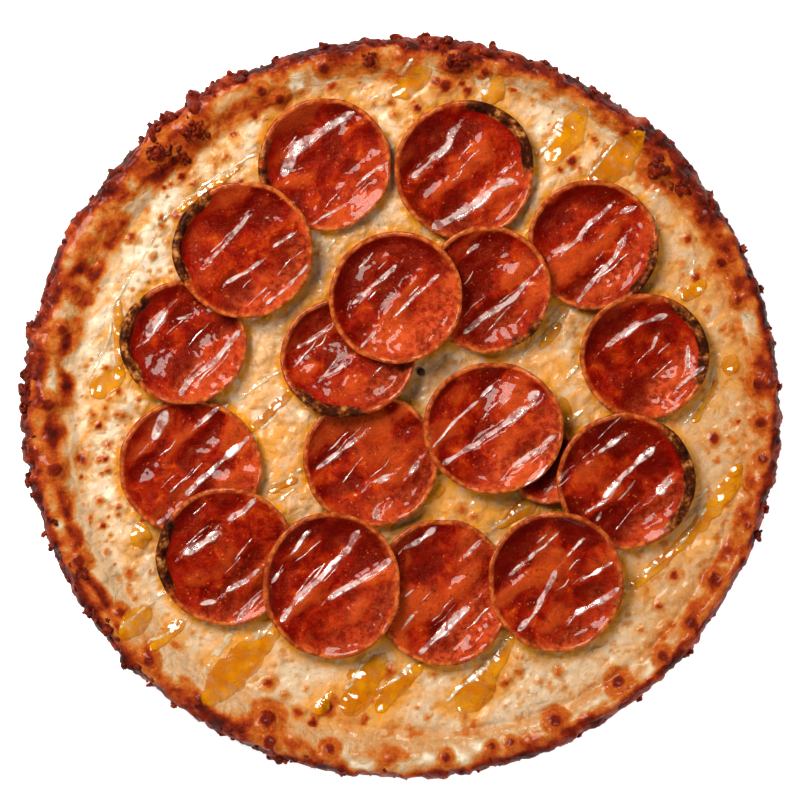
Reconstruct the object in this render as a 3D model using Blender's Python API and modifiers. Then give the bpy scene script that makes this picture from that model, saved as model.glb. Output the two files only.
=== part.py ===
"""A whole pepperoni pizza, 28 cm across, lying flat and uncut.

Its pieces are the dough crust with its rim and the burnt crags round it, the melted cheese that fills
the crust's hollow, and the slices of pepperoni, each draped over what lies under it.
"""
import math
from collections import namedtuple

import bmesh
import bpy
import numpy as np
from mathutils import Matrix, Vector
from mathutils.bvhtree import BVHTree
from mathutils.geometry import delaunay_2d_cdt

MM = 0.001

# Driving dimensions.
PIZZA_RADIUS = 141 * MM         # mean radius of the dough's outer wall, without its crags
OVAL = 1.4 * MM                 # how much the radius is larger along X, and smaller along Y
HOLLOW_FLOOR = 8.5 * MM         # top of the dough under the cheese
CHEESE_TOP = 12.5 * MM          # mean height of the cheese
CREST_HEIGHT = 19 * MM          # top of the rim
SLICE_THICKNESS = 1.9 * MM
SLICE_CUP = 0.5 * MM            # how much a slice's edge stands up all round
GAP = 0.3 * MM                  # clearance between pieces that touch
TRIM = 1 * MM                   # how much larger the cheese is made before it is trimmed to its place
DRAPE_GAP = 0.6 * MM            # the same under a slice, whose faces are larger than its bends
DRAPE_RADIUS = 60 * MM          # tightest bend of a slice that lies over another
SLICE_FLAT = 0.6                # share of a slice's radius inside which its edge doesn't lift

# The rim's inner edge: direction in degrees from +X, and radius. The rim is widest at the left.
RIM_INNER = ((0, 132.0 * MM), (45, 129.1 * MM), (90, 123.5 * MM), (135, 124.0 * MM),
             (180, 124.5 * MM), (225, 123.4 * MM), (270, 123.5 * MM), (315, 132.0 * MM))

# The rim's section: share of its width from the cheese outwards, and height as a share of the crest's.
# Its first point lies over the cheese's edge, where the hollow is cut.
RIM_SECTION = ((-0.15, 0.62), (0.2, 0.84), (0.42, 0.96), (0.65, 1.0), (0.85, 0.93),
               (0.97, 0.76), (1.0, 0.5), (0.99, 0.2), (0.94, 0.04), (0.88, 0.0))
NOMINAL_INNER = 126 * MM
UNMOVED_RADIUS = 100 * MM       # the crust's floor inside this radius stays a true circle

CRUST_STEPS = 108
CHEESE_PITCH = 8 * MM
SLICE_RINGS = ((0.38, 10), (0.72, 20), (1.0, 30))   # share of the radius, and points round it
MAP_CELL = 1.5 * MM
MAP_HALF = 150 * MM
SOLIDS = "pepperoni_pizza"
CUTTERS = "cutters"
SOLVER = "EXACT"

# Slices in the order they were laid down. Centre, half widths along x and y, all in mm, then how far the
# edge curls up in mm, the direction of that curl in degrees from +X, and how far it spreads either way.
Slice = namedtuple("Slice", "x y half_x half_y lift side spread")
SLICES = (
    Slice(54.9, -22.6, 13.5, 13.5, 0.0, 0, 60),
    Slice(-28.6, 91.0, 24.4, 24.4, 1.5, 180, 60),
    Slice(23.7, 88.7, 25.6, 25.4, 4.0, 45, 75),
    Slice(71.8, 60.9, 23.9, 23.7, 2.0, -30, 70),
    Slice(91.0, 18.8, 23.4, 23.2, 3.5, 15, 80),
    Slice(-79.0, -22.6, 26.3, 25.2, 0.6, 150, 60),
    Slice(-11.3, -19.9, 24.8, 24.8, 0.4, 200, 60),
    Slice(15.4, -69.6, 24.8, 27.1, 0.6, -60, 60),
    Slice(-81.2, 24.1, 22.9, 22.9, 4.5, 175, 70),
    Slice(-65.1, -56.0, 25.6, 25.4, 3.0, 180, 65),
    Slice(83.8, -27.8, 25.0, 25.0, 4.5, 0, 80),
    Slice(34.6, -7.9, 25.6, 24.1, 1.0, 200, 60),
    Slice(-19.9, 18.8, 24.8, 21.8, 3.0, -110, 70),
    Slice(32.3, 44.0, 23.3, 23.3, 1.5, -45, 60),
    Slice(-58.7, 58.7, 25.4, 25.0, 4.5, 165, 75),
    Slice(-1.9, 41.0, 24.5, 24.3, 0.8, 240, 60),
    Slice(-25.9, -66.9, 25.2, 27.1, 1.0, 190, 60),
    Slice(57.9, -65.4, 24.8, 25.9, 1.0, -20, 60),
)

# Low mounds: centre, length, width and height in mm, and the direction of the length in degrees.
Mound = namedtuple("Mound", "x y length width height turn")
LONG_MOUND = 12                 # longer ones are rounded twice

# Pools and thick runs of honey on the open cheese, and the largest blisters there.
HONEY = (
    Mound(-110.5, 10, 16, 10, 1.0, 20), Mound(-98.1, -51.9, 13, 11, 1.0, 40),
    Mound(4.9, 117.1, 14, 9, 0.8, 40), Mound(61.5, 100.5, 20, 6, 1.0, 45),
    Mound(121.9, 15.8, 12, 9, 0.9, 60), Mound(97.5, -56.5, 30, 4.4, 0.9, 40),
    Mound(24.1, -113.9, 14, 12, 1.1, 45), Mound(34.5, -102.5, 24, 5.4, 1.0, 45),
    Mound(-15, -112.5, 20, 9, 1.0, 60), Mound(-55.5, -96.5, 26, 10, 1.0, 40),
)
BLISTERS = (
    Mound(16.9, 120.7, 9, 6, 1.4, 20), Mound(6.4, 112.4, 5, 4, 1.0, 0), Mound(-82.3, 86.5, 5, 4.4, 1.1, 0),
    Mound(-84.2, 71.8, 5, 4, 1.0, 60), Mound(-101.5, 63.9, 5, 4.4, 1.0, 0), Mound(107.9, 62.8, 5, 4.4, 1.0, 0),
    Mound(117.3, -12, 6.4, 6, 1.2, 0), Mound(102.5, -63.5, 4.4, 4, 1.0, 0), Mound(-113.6, -7.1, 5, 4, 1.0, 80),
    Mound(-119.9, -26.7, 5.4, 4.4, 1.2, 80), Mound(-44.4, -110, 9, 6, 1.8, 75),
)
PEPPERCORN = Mound(7.5, 13.2, 3.2, 3.0, 3.0, 0)

# Blisters and nuggets of burnt cheese on the rim, and the largest crags at its outer edge.
RIM_NUGGETS = (
    Mound(-91.7, 94.4, 9, 8, 3.2, 30), Mound(-77.1, 101.9, 9, 7, 3.2, 40), Mound(-82.4, 93.2, 6, 5, 2.4, 0),
    Mound(-109.4, 83.1, 6, 4.6, 2.2, 50), Mound(21.4, 129.3, 10, 7.5, 2.8, 10), Mound(-10.5, 127.5, 6, 4.4, 2, 0),
    Mound(134.6, 8.6, 7, 6.4, 2.6, 90), Mound(135.4, -6, 5.6, 5, 2.2, 90),
    Mound(135.4, -19.2, 5, 4.6, 2, 90), Mound(118.1, -66.2, 7, 6.4, 2.6, 60),
    Mound(109.4, -81.6, 5.6, 5, 2.2, 50), Mound(98.5, -93.6, 5.6, 5, 2.2, 45),
    Mound(81.2, -104.5, 7, 6.4, 2.6, 40), Mound(56, -117.3, 7.6, 7, 2.6, 20),
    Mound(15.4, -132.7, 5, 4.6, 2.2, 0), Mound(-46.7, -120, 11, 6.5, 3, 75),
)
EDGE_CRAGS = (
    Mound(-141.7, 12.3, 11, 8, 5.5, 80), Mound(-142.4, 3.6, 9, 8, 5, 100), Mound(-141.9, -3.6, 8, 7, 5, 80),
    Mound(-139.5, -27.5, 9, 7, 5, 90), Mound(-87.9, 109.1, 9, 8, 4.5, 40), Mound(-76.7, 115.2, 12, 8, 4.5, 30),
    Mound(-29.2, 135.6, 9, 6, 4, 10), Mound(8.9, 137.5, 9, 6, 4, 0), Mound(34.1, 134.5, 8, 6, 4, -10),
    Mound(128.4, 59.7, 10, 6, 4, -65), Mound(140.2, 19.6, 9, 6, 4, -80), Mound(135.9, -39.3, 8, 6, 4, 75),
    Mound(105.8, -92.2, 9, 6, 4, 50), Mound(-44.1, -132.2, 9, 6, 4.5, -15), Mound(-86.2, -109.9, 9, 6, 4, -40),
    Mound(-131.2, -50.9, 8, 6, 4, 110),
)
EDGE_CRAG_LEVEL = 0.72          # share of the crest's height at which the large crags sit
CRAG_COUNT = 40                 # smaller crags, spread evenly round the edge
CRAG_SIZES = (5, 9)             # in mm, as the mounds above
CRAG_LEVELS = (0.25, 0.93)
CRAG_REACH = (-1.4 * MM, 0.2 * MM)

# Seeds and bump sizes of the uneven surfaces.
WAVE_SEED, WAVE_SIZE, WAVE_HEIGHT = 3, 24 * MM, 0.7 * MM
RIM_SEED, RIM_SIZE, RIM_RELIEF = 11, 11 * MM, 1.0 * MM
WALL_SEED, WALL_SIZE, WALL_RELIEF = 17, 4 * MM, 1.8 * MM
WALL_TOP, WALL_START = 16 * MM, 0.9          # the wall's relief lies below this height, past this share
EDGE_RISE, EDGE_WIDTH = 0.6 * MM, 14 * MM    # how the cheese climbs towards the rim
CRAG_SEED = 29


def clear_scene():
    for obj in list(bpy.data.objects):
        bpy.data.objects.remove(obj, do_unlink=True)


def new_collection(name):
    collection = bpy.data.collections.new(name)
    bpy.context.scene.collection.children.link(collection)
    return collection


def material(name, color, roughness):
    mat = bpy.data.materials.new(name)
    mat.use_nodes = True
    shader = mat.node_tree.nodes["Principled BSDF"]
    shader.inputs["Base Color"].default_value = (*color, 1.0)
    shader.inputs["Roughness"].default_value = roughness
    shader.inputs["Metallic"].default_value = 0.0
    return mat


def smoothstep(value):
    t = np.clip(value, 0.0, 1.0)
    return t * t * (3 - 2 * t)


def bumps(x, y, size, seed):
    """Smooth random relief between -1 and 1, with bumps about as wide as size."""
    cells = 256
    table = np.random.default_rng(seed).uniform(-1, 1, (cells, cells))
    u, v = np.asarray(x) / size + cells / 2, np.asarray(y) / size + cells / 2
    i, j = np.floor(u).astype(int), np.floor(v).astype(int)
    a, b = smoothstep(u - i), smoothstep(v - j)
    near = table[i, j] * (1 - a) + table[i + 1, j] * a
    far = table[i, j + 1] * (1 - a) + table[i + 1, j + 1] * a
    return near * (1 - b) + far * b


def rim_inner(angle):
    """Radius of the rim's inner edge in a direction given in radians."""
    directions, radii = zip(*RIM_INNER)
    return np.interp(np.degrees(angle) % 360, directions + (360,), radii + (radii[0],))


def rim_outer(angle):
    """Radius of the rim's outer edge in a direction given in radians."""
    return PIZZA_RADIUS + OVAL * np.cos(2 * angle)


def rim_height(x, y):
    """Height of the rim's top at a place between its inner and outer edge."""
    angle = math.atan2(y, x)
    inner = rim_inner(angle)
    share = (math.hypot(x, y) - inner) / (rim_outer(angle) - inner)
    top = [point for point in RIM_SECTION if point[1] >= RIM_SECTION[0][1]]
    return CREST_HEIGHT * np.interp(share, *zip(*top))


def ring(radius_at, height):
    """Points at equal steps round the pizza, at a radius worked out for each direction."""
    angles = [2 * math.pi * step / CRUST_STEPS for step in range(CRUST_STEPS)]
    return [Vector((radius_at(a) * math.cos(a), radius_at(a) * math.sin(a), height)) for a in angles]


def wall_radius(angle, level):
    """Radius of the rim's outer wall at a share of the crest's height."""
    inner = rim_inner(angle)
    crest = max(range(len(RIM_SECTION)), key=lambda i: RIM_SECTION[i][1])
    shares, levels = zip(*reversed(RIM_SECTION[crest:]))
    return inner + np.interp(level, levels, shares) * (rim_outer(angle) - inner)


def cheese_height(x, y):
    from_rim = rim_inner(np.arctan2(y, x)) - np.hypot(x, y)
    rise = EDGE_RISE * smoothstep(1 - from_rim / EDGE_WIDTH)
    return CHEESE_TOP + WAVE_HEIGHT * bumps(x, y, WAVE_SIZE, WAVE_SEED) + rise


def add_object(name, bm, collection, mat=None):
    bmesh.ops.recalc_face_normals(bm, faces=bm.faces)
    mesh = bpy.data.meshes.new(name)
    bm.to_mesh(mesh)
    bm.free()
    obj = bpy.data.objects.new(name, mesh)
    collection.objects.link(obj)
    if mat:
        mesh.materials.append(mat)
    return obj


def shade(obj):
    obj.data.shade_smooth()
    obj.data.set_sharp_from_angle(angle=math.radians(50))


def add_cutter(name, bm):
    cutter = add_object(name, bm, bpy.data.collections[CUTTERS])
    cutter.hide_render = True
    cutter.display_type = "WIRE"


def apply_modifiers(obj):
    bpy.context.view_layer.update()
    shaped = obj.evaluated_get(bpy.context.evaluated_depsgraph_get())
    obj.data = bpy.data.meshes.new_from_object(shaped)
    obj.modifiers.clear()


def add_hollow(clearance):
    """The space inside the rim, from the floor of the hollow up past the rim, less a clearance."""
    bm = bmesh.new()
    outline = ring(lambda angle: rim_inner(angle) - clearance, HOLLOW_FLOOR + clearance)
    bottom = bm.faces.new([bm.verts.new(point) for point in outline])
    top = bmesh.ops.extrude_face_region(bm, geom=[bottom])["geom"]
    for vert in top:
        if isinstance(vert, bmesh.types.BMVert):
            vert.co.z += 2 * CREST_HEIGHT
    add_cutter("hollow", bm)


def add_mound(mound, height, rounds):
    """A ball squashed to the mound's size, half sunk in the surface that lies at the height given."""
    place = (Matrix.Translation((mound.x * MM, mound.y * MM, height))
             @ Matrix.Rotation(math.radians(mound.turn), 4, "Z")
             @ Matrix.Diagonal((mound.length * MM / 2, mound.width * MM / 2, mound.height * MM, 1)))
    bm = bmesh.new()
    bmesh.ops.create_icosphere(bm, subdivisions=rounds, radius=1, matrix=place)
    add_cutter("mound", bm)


def apply_cutters(obj, operation):
    """Applies one Boolean with everything in the cutters' collection, and empties the collection."""
    cutters = bpy.data.collections[CUTTERS]
    boolean = obj.modifiers.new(operation.lower(), "BOOLEAN")
    boolean.operation = operation
    boolean.operand_type = "COLLECTION"
    boolean.collection = cutters
    boolean.solver = SOLVER
    apply_modifiers(obj)
    for cutter in list(cutters.objects):
        bpy.data.objects.remove(cutter, do_unlink=True)
    drop_scraps(obj)


def drop_scraps(obj):
    """Removes what a union left loose beside the main body."""
    bm = bmesh.new()
    bm.from_mesh(obj.data)
    left, bodies = set(bm.verts), []
    while left:
        body, edge_of_body = set(), [left.pop()]
        while edge_of_body:
            vert = edge_of_body.pop()
            body.add(vert)
            for edge in vert.link_edges:
                other = edge.other_vert(vert)
                if other in left:
                    left.discard(other)
                    edge_of_body.append(other)
        bodies.append(body)
    bodies.sort(key=len)
    for body in bodies[:-1]:
        bmesh.ops.delete(bm, geom=list(body), context="VERTS")
    bm.to_mesh(obj.data)
    bm.free()


def turned_crust(collection, mat):
    """The plain turned crust: its profile runs out over the middle, up the rim, down its wall and back."""
    width = PIZZA_RADIUS - NOMINAL_INNER
    section = [(NOMINAL_INNER + share * width, level * CREST_HEIGHT) for share, level in RIM_SECTION]
    profile = [(0, section[0][1])] + section + [(0, 0)]
    bm = bmesh.new()
    points = [bm.verts.new((radius, 0, z)) for radius, z in profile]
    for start, end in zip(points, points[1:]):
        bm.edges.new((start, end))
    mesh = bpy.data.meshes.new("crust_profile")
    bm.to_mesh(mesh)
    bm.free()
    obj = bpy.data.objects.new("crust", mesh)
    collection.objects.link(obj)
    turn = obj.modifiers.new("turn", "SCREW")
    turn.steps = turn.render_steps = CRUST_STEPS
    turn.use_merge_vertices = True
    turn.merge_threshold = 0.00001
    apply_modifiers(obj)
    obj.data.materials.append(mat)
    return obj


def make_crust_uneven(obj):
    """Moves the rim to its real width in each direction, and gives its top and wall their bumps."""
    for vert in obj.data.vertices:
        x, y, z = vert.co
        radius, angle = math.hypot(x, y), math.atan2(y, x)
        inner, outer = rim_inner(angle), rim_outer(angle)
        moved = np.interp(radius, (0, UNMOVED_RADIUS, NOMINAL_INNER, PIZZA_RADIUS),
                          (0, UNMOVED_RADIUS, inner, outer))
        across = (moved - inner) / (outer - inner)
        if z > CHEESE_TOP:
            z += RIM_RELIEF * bumps(x, y, RIM_SIZE, RIM_SEED)
        if 0 < z < WALL_TOP and across > WALL_START:
            moved += WALL_RELIEF * bumps(PIZZA_RADIUS * angle, z, WALL_SIZE, WALL_SEED)
        vert.co = (moved * math.cos(angle), moved * math.sin(angle), z)


def add_small_crags():
    """The smaller crags: one in each equal step round the edge, at a place in it drawn at random."""
    draw = np.random.default_rng(CRAG_SEED)
    for step in range(CRAG_COUNT):
        angle = 2 * math.pi * (step + draw.uniform(0.1, 0.9)) / CRAG_COUNT
        level = draw.uniform(*CRAG_LEVELS)
        radius = (wall_radius(angle, level) + draw.uniform(*CRAG_REACH)) / MM
        length = draw.uniform(*CRAG_SIZES)
        width, height = length * draw.uniform(0.6, 0.9), length * draw.uniform(0.35, 0.5)
        turn = draw.uniform(0, 180)
        crag = Mound(radius * math.cos(angle), radius * math.sin(angle), length, width, height, turn)
        add_mound(crag, CREST_HEIGHT * level, 1)


def build_crust(collection):
    mat = material("browned_crust", (0.42, 0.16, 0.045), 0.55)
    obj = turned_crust(collection, mat)
    make_crust_uneven(obj)
    for nugget in RIM_NUGGETS:
        add_mound(nugget, rim_height(nugget.x * MM, nugget.y * MM), 1)
    for crag in EDGE_CRAGS:
        add_mound(crag, CREST_HEIGHT * EDGE_CRAG_LEVEL, 1)
    add_small_crags()
    apply_cutters(obj, "UNION")
    add_hollow(0)
    apply_cutters(obj, "DIFFERENCE")
    shade(obj)
    return obj


def flat_sheet(outline, inner_points):
    """A flat triangulated sheet inside an outline, with the given points in it."""
    points = [Vector(point) for point in outline] + [Vector(point) for point in inner_points]
    ring = list(range(len(outline)))
    corners, _, faces = delaunay_2d_cdt(points, [], [ring], 1, 1e-7)[:3]
    bm = bmesh.new()
    verts = [bm.verts.new((point.x, point.y, 0)) for point in corners]
    for face in faces:
        bm.faces.new([verts[i] for i in face])
    return bm


def hexagonal_points(pitch, half, keep):
    """Points of a triangular grid that keep(x, y) accepts."""
    rows = int(half / (pitch * math.sqrt(0.75)))
    columns = int(half / pitch) + 1
    points = []
    for row in range(-rows, rows + 1):
        for column in range(-columns, columns + 1):
            x = pitch * (column + 0.5 * (row % 2))
            y = pitch * math.sqrt(0.75) * row
            if keep(x, y):
                points.append((x, y))
    return points


def build_cheese(collection):
    """The cheese: an uneven sheet with a flat underside, trimmed to fit inside the crust's hollow."""
    mat = material("melted_cheese", (0.78, 0.56, 0.27), 0.4)
    outline = [point.to_2d() for point in ring(lambda a: rim_inner(a) + TRIM, 0)]

    def well_inside(x, y):
        return math.hypot(x, y) < rim_inner(math.atan2(y, x)) - 0.6 * CHEESE_PITCH

    bm = flat_sheet(outline, hexagonal_points(CHEESE_PITCH, PIZZA_RADIUS, well_inside))
    for vert in bm.verts:
        vert.co.z = cheese_height(vert.co.x, vert.co.y)
    border = [edge for edge in bm.edges if edge.is_boundary]
    wall = bmesh.ops.extrude_edge_only(bm, edges=border)["geom"]
    for vert in wall:
        if isinstance(vert, bmesh.types.BMVert):
            vert.co.z = HOLLOW_FLOOR - TRIM
    bmesh.ops.holes_fill(bm, edges=[edge for edge in bm.edges if edge.is_boundary])
    obj = add_object("cheese", bm, collection, mat)
    for mound in HONEY + BLISTERS + (PEPPERCORN,):
        rounds = 2 if mound.length > LONG_MOUND else 1
        add_mound(mound, cheese_height(mound.x * MM, mound.y * MM), rounds)
    apply_cutters(obj, "UNION")
    add_hollow(GAP)
    apply_cutters(obj, "INTERSECT")
    shade(obj)
    return obj


def map_axis():
    return np.arange(-MAP_HALF, MAP_HALF + MAP_CELL / 2, MAP_CELL)


def add_to_map(height_map, obj, margin):
    """Raises the height map to the object's top. Cells within a margin of its edge take its height too."""
    bm = bmesh.new()
    bm.from_mesh(obj.data)
    tree = BVHTree.FromBMesh(bm)
    bm.free()
    axis = map_axis()
    corners = np.array([vert.co for vert in obj.data.vertices])
    low, high = corners.min(axis=0) - margin, corners.max(axis=0) + margin
    seen = np.full_like(height_map, -1.0)
    above = 0.1
    for i in np.flatnonzero((axis > low[0]) & (axis < high[0])):
        for j in np.flatnonzero((axis > low[1]) & (axis < high[1])):
            hit = tree.ray_cast(Vector((axis[i], axis[j], above)), Vector((0, 0, -1)))[0]
            if hit:
                seen[i, j] = hit.z
    for _ in range(round(margin / MAP_CELL)):
        grown = seen.copy()
        for shift in ((1, 0), (-1, 0), (0, 1), (0, -1)):
            grown = np.maximum(grown, np.roll(seen, shift, axis=(0, 1)))
        seen = np.where(seen < 0, grown, seen)
    return np.maximum(height_map, seen)


def draped(height_map, inside):
    """The lowest smooth underside over the part of the map that a slice covers.

    Each point of it stands as high as every covered point, less the parabola that a slice's stiffest bend
    falls by over the distance between them.
    """
    covered = np.where(inside, height_map, -1.0)
    reach = int(DRAPE_RADIUS / 2 / MAP_CELL)
    for axis in (0, 1):
        best = covered.copy()
        for cells in range(1, reach + 1):
            fall = (cells * MAP_CELL) ** 2 / (2 * DRAPE_RADIUS)
            best = np.maximum(best, np.roll(covered, cells, axis) - fall)
            best = np.maximum(best, np.roll(covered, -cells, axis) - fall)
        covered = best
    return covered


def read_map(height_map, x, y):
    u, v = (x + MAP_HALF) / MAP_CELL, (y + MAP_HALF) / MAP_CELL
    i, j = int(u), int(v)
    a, b = u - i, v - j
    near = height_map[i, j] * (1 - a) + height_map[i + 1, j] * a
    far = height_map[i, j + 1] * (1 - a) + height_map[i + 1, j + 1] * a
    return near * (1 - b) + far * b


def edge_lift(row, share, angle):
    """How far a slice stands up at a share of its radius in a direction in radians."""
    off = abs((math.degrees(angle) - row.side + 180) % 360 - 180)
    side = math.cos(math.pi / 2 * min(off / row.spread, 1)) ** 2
    toward_edge = max(share - SLICE_FLAT, 0) / (1 - SLICE_FLAT)
    return (SLICE_CUP + row.lift * MM * side) * toward_edge ** 1.5


def build_slice(number, row, height_map, collection, mat):
    """One slice: a round sheet, laid over the map, with its edge curled up, and then thickened."""
    centre_x, centre_y = row.x * MM, row.y * MM
    half_x, half_y = row.half_x * MM, row.half_y * MM
    rings = []
    for share, count in SLICE_RINGS:
        turn = [2 * math.pi * step / count for step in range(count)]
        rings.append([(share * half_x * math.cos(a), share * half_y * math.sin(a)) for a in turn])
    inner = [(0, 0)] + [point for ring in rings[:-1] for point in ring]
    bm = flat_sheet(rings[-1], inner)

    axis = map_axis()
    across = (axis[:, None] - centre_x) / (half_x + MAP_CELL)
    along = (axis[None, :] - centre_y) / (half_y + MAP_CELL)
    underside = draped(height_map, across ** 2 + along ** 2 < 1) + DRAPE_GAP
    for vert in bm.verts:
        x, y = vert.co.x, vert.co.y
        share = math.hypot(x / half_x, y / half_y)
        rest = read_map(underside, centre_x + x, centre_y + y)
        vert.co = (centre_x + x, centre_y + y, rest + edge_lift(row, share, math.atan2(y, x)))
    top = bmesh.ops.extrude_face_region(bm, geom=bm.faces[:])["geom"]
    for vert in top:
        if isinstance(vert, bmesh.types.BMVert):
            vert.co.z += SLICE_THICKNESS
    obj = add_object(f"pepperoni_{number:02d}", bm, collection, mat)
    shade(obj)
    return obj


def main():
    clear_scene()
    solids = new_collection(SOLIDS)
    new_collection(CUTTERS)
    crust = build_crust(solids)
    cheese = build_cheese(solids)
    axis = map_axis()
    height_map = add_to_map(np.zeros((len(axis), len(axis))), crust, 0)
    height_map = add_to_map(height_map, cheese, MAP_CELL)
    mat = material("pepperoni", (0.30, 0.035, 0.012), 0.3)
    for number, row in enumerate(SLICES, start=1):
        piece = build_slice(number, row, height_map, solids, mat)
        height_map = add_to_map(height_map, piece, MAP_CELL)


main()
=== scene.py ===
import math
from collections import namedtuple
from contextlib import contextmanager

import bmesh
import bpy
import numpy as np
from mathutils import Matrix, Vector
from mathutils.bvhtree import BVHTree


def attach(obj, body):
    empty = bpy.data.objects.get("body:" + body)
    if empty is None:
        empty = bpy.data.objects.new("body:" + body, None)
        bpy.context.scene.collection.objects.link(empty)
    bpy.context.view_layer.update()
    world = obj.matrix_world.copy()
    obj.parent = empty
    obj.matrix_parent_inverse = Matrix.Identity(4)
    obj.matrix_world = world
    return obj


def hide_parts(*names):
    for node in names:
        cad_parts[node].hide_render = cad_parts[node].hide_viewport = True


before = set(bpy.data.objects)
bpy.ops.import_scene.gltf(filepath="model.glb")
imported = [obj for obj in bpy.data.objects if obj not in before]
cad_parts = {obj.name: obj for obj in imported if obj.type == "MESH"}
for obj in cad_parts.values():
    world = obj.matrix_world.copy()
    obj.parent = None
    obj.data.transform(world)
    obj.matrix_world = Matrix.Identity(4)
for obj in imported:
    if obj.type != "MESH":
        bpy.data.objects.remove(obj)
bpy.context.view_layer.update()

MM = 0.001

# The solids' driving dimensions, as the part's source has them.
PIZZA_RADIUS = 141 * MM
OVAL = 1.4 * MM
HOLLOW_FLOOR = 8.5 * MM
CHEESE_TOP = 12.5 * MM
CREST_HEIGHT = 19 * MM
SLICE_THICKNESS = 1.9 * MM
DRAPE_RADIUS = 60 * MM
DRAPE_GAP = 0.15 * MM
RIM_INNER = ((0, 132.0 * MM), (45, 129.1 * MM), (90, 123.5 * MM), (135, 124.0 * MM),
             (180, 124.5 * MM), (225, 123.4 * MM), (270, 123.5 * MM), (315, 132.0 * MM))
RIM_SECTION = ((-0.15, 0.62), (0.2, 0.84), (0.42, 0.96), (0.65, 1.0), (0.85, 0.93),
               (0.97, 0.76), (1.0, 0.5), (0.99, 0.2), (0.94, 0.04), (0.88, 0.0))
WAVE_SEED, WAVE_SIZE, WAVE_HEIGHT = 3, 24 * MM, 0.7 * MM
EDGE_RISE, EDGE_WIDTH = 0.6 * MM, 14 * MM

Slice = namedtuple("Slice", "x y half_x half_y lift side spread")
SLICES = (
    Slice(54.9, -22.6, 13.5, 13.5, 0.0, 0, 60),
    Slice(-28.6, 91.0, 24.4, 24.4, 1.5, 180, 60),
    Slice(23.7, 88.7, 25.6, 25.4, 4.0, 45, 75),
    Slice(71.8, 60.9, 23.9, 23.7, 2.0, -30, 70),
    Slice(91.0, 18.8, 23.4, 23.2, 3.5, 15, 80),
    Slice(-79.0, -22.6, 26.3, 25.2, 0.6, 150, 60),
    Slice(-11.3, -19.9, 24.8, 24.8, 0.4, 200, 60),
    Slice(15.4, -69.6, 24.8, 27.1, 0.6, -60, 60),
    Slice(-81.2, 24.1, 22.9, 22.9, 4.5, 175, 70),
    Slice(-65.1, -56.0, 25.6, 25.4, 3.0, 180, 65),
    Slice(83.8, -27.8, 25.0, 25.0, 4.5, 0, 80),
    Slice(34.6, -7.9, 25.6, 24.1, 1.0, 200, 60),
    Slice(-19.9, 18.8, 24.8, 21.8, 3.0, -110, 70),
    Slice(32.3, 44.0, 23.3, 23.3, 1.5, -45, 60),
    Slice(-58.7, 58.7, 25.4, 25.0, 4.5, 165, 75),
    Slice(-1.9, 41.0, 24.5, 24.3, 0.8, 240, 60),
    Slice(-25.9, -66.9, 25.2, 27.1, 1.0, 190, 60),
    Slice(57.9, -65.4, 24.8, 25.9, 1.0, -20, 60),
)

# Where the photograph puts the pizza: the pixel at its centre, and how large a pixel is on it.
PHOTO_CENTRE = (401, 407)
PHOTO_SIZE = 800
PIXEL = 0.376 * MM


def from_photo(x, y):
    return (x - PHOTO_CENTRE[0]) * PIXEL, (PHOTO_CENTRE[1] - y) * PIXEL


# Noise and relief.

def smoothstep(value):
    t = np.clip(value, 0.0, 1.0)
    return t * t * (3 - 2 * t)


def ramp(value, low, high):
    """0 at low, 1 at high, smooth in between. Low may be the larger one."""
    return smoothstep((value - low) / (high - low))


def between_cells(table, rows, columns, a, b):
    """The table's value part of the way, a and b, between two rows and two columns."""
    (i, k), (j, l) = rows, columns
    near = table[i, j] * (1 - a) + table[k, j] * a
    far = table[i, l] * (1 - a) + table[k, l] * a
    return near * (1 - b) + far * b


def grid_place(x, y, size, cells, wrap):
    """Places counted in cells, with the origin in the middle of the grid, and the cell that each is in."""
    u, v = np.asarray(x) / size, np.asarray(y) / size + cells / 2
    u = u if wrap else u + cells / 2
    return u, v, np.floor(u).astype(int), np.floor(v).astype(int)


def bumps(x, y, size, seed, wrap=None):
    """Smooth random relief between -1 and 1, with bumps about as wide as size.

    With wrap, x repeats after that many bumps, so that it closes round the rim.
    """
    cells = max(256, wrap or 0)
    table = np.random.default_rng(seed).uniform(-1, 1, (cells, cells))
    u, v, i, j = grid_place(x, y, size, cells, wrap)
    a, b = smoothstep(u - i), smoothstep(v - j)
    turn = wrap or cells
    return between_cells(table, (i % turn, (i + 1) % turn), (j % cells, (j + 1) % cells), a, b)


def layered(x, y, size, seed, layers=3):
    """Bumps of several sizes, each half as wide and half as high as the last."""
    total = sum(bumps(x, y, size / 2 ** n, seed + 7 * n) / 2 ** n for n in range(layers))
    return total / (2 - 2 / 2 ** layers)


def domes(x, y, size, seed, wrap=None, fill=0.75):
    """Random round domes on an uneven grid, between 0 and 1 high. Fill is the share of cells that have one."""
    cells = max(400, wrap or 0)
    draw = np.random.default_rng(seed)
    shift_x, shift_y = draw.uniform(0.15, 0.85, (2, cells, cells))
    radius = draw.uniform(0.4, 0.8, (cells, cells))
    radius[draw.uniform(0, 1, (cells, cells)) > fill] = 0.01
    u, v, i, j = grid_place(x, y, size, cells, wrap)
    turn = wrap or cells
    top = np.zeros(np.broadcast(u, v).shape)
    for di in (-1, 0, 1):
        for dj in (-1, 0, 1):
            p, q = (i + di) % turn, (j + dj) % cells
            apart = (u - i - di - shift_x[p, q]) ** 2 + (v - j - dj - shift_y[p, q]) ** 2
            cap = np.sqrt(np.clip(1 - apart / radius[p, q] ** 2, 0, 1)) * radius[p, q] / 0.8
            top = np.maximum(top, cap)
    return top


def by_direction(table, angle):
    """A table's value in a direction given in radians."""
    directions, values = zip(*table)
    return np.interp(np.degrees(angle) % 360, directions + (360,), values + (values[0],))


def rim_inner(angle):
    return by_direction(RIM_INNER, angle)


def rim_outer(angle):
    return PIZZA_RADIUS + OVAL * np.cos(2 * angle)


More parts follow.
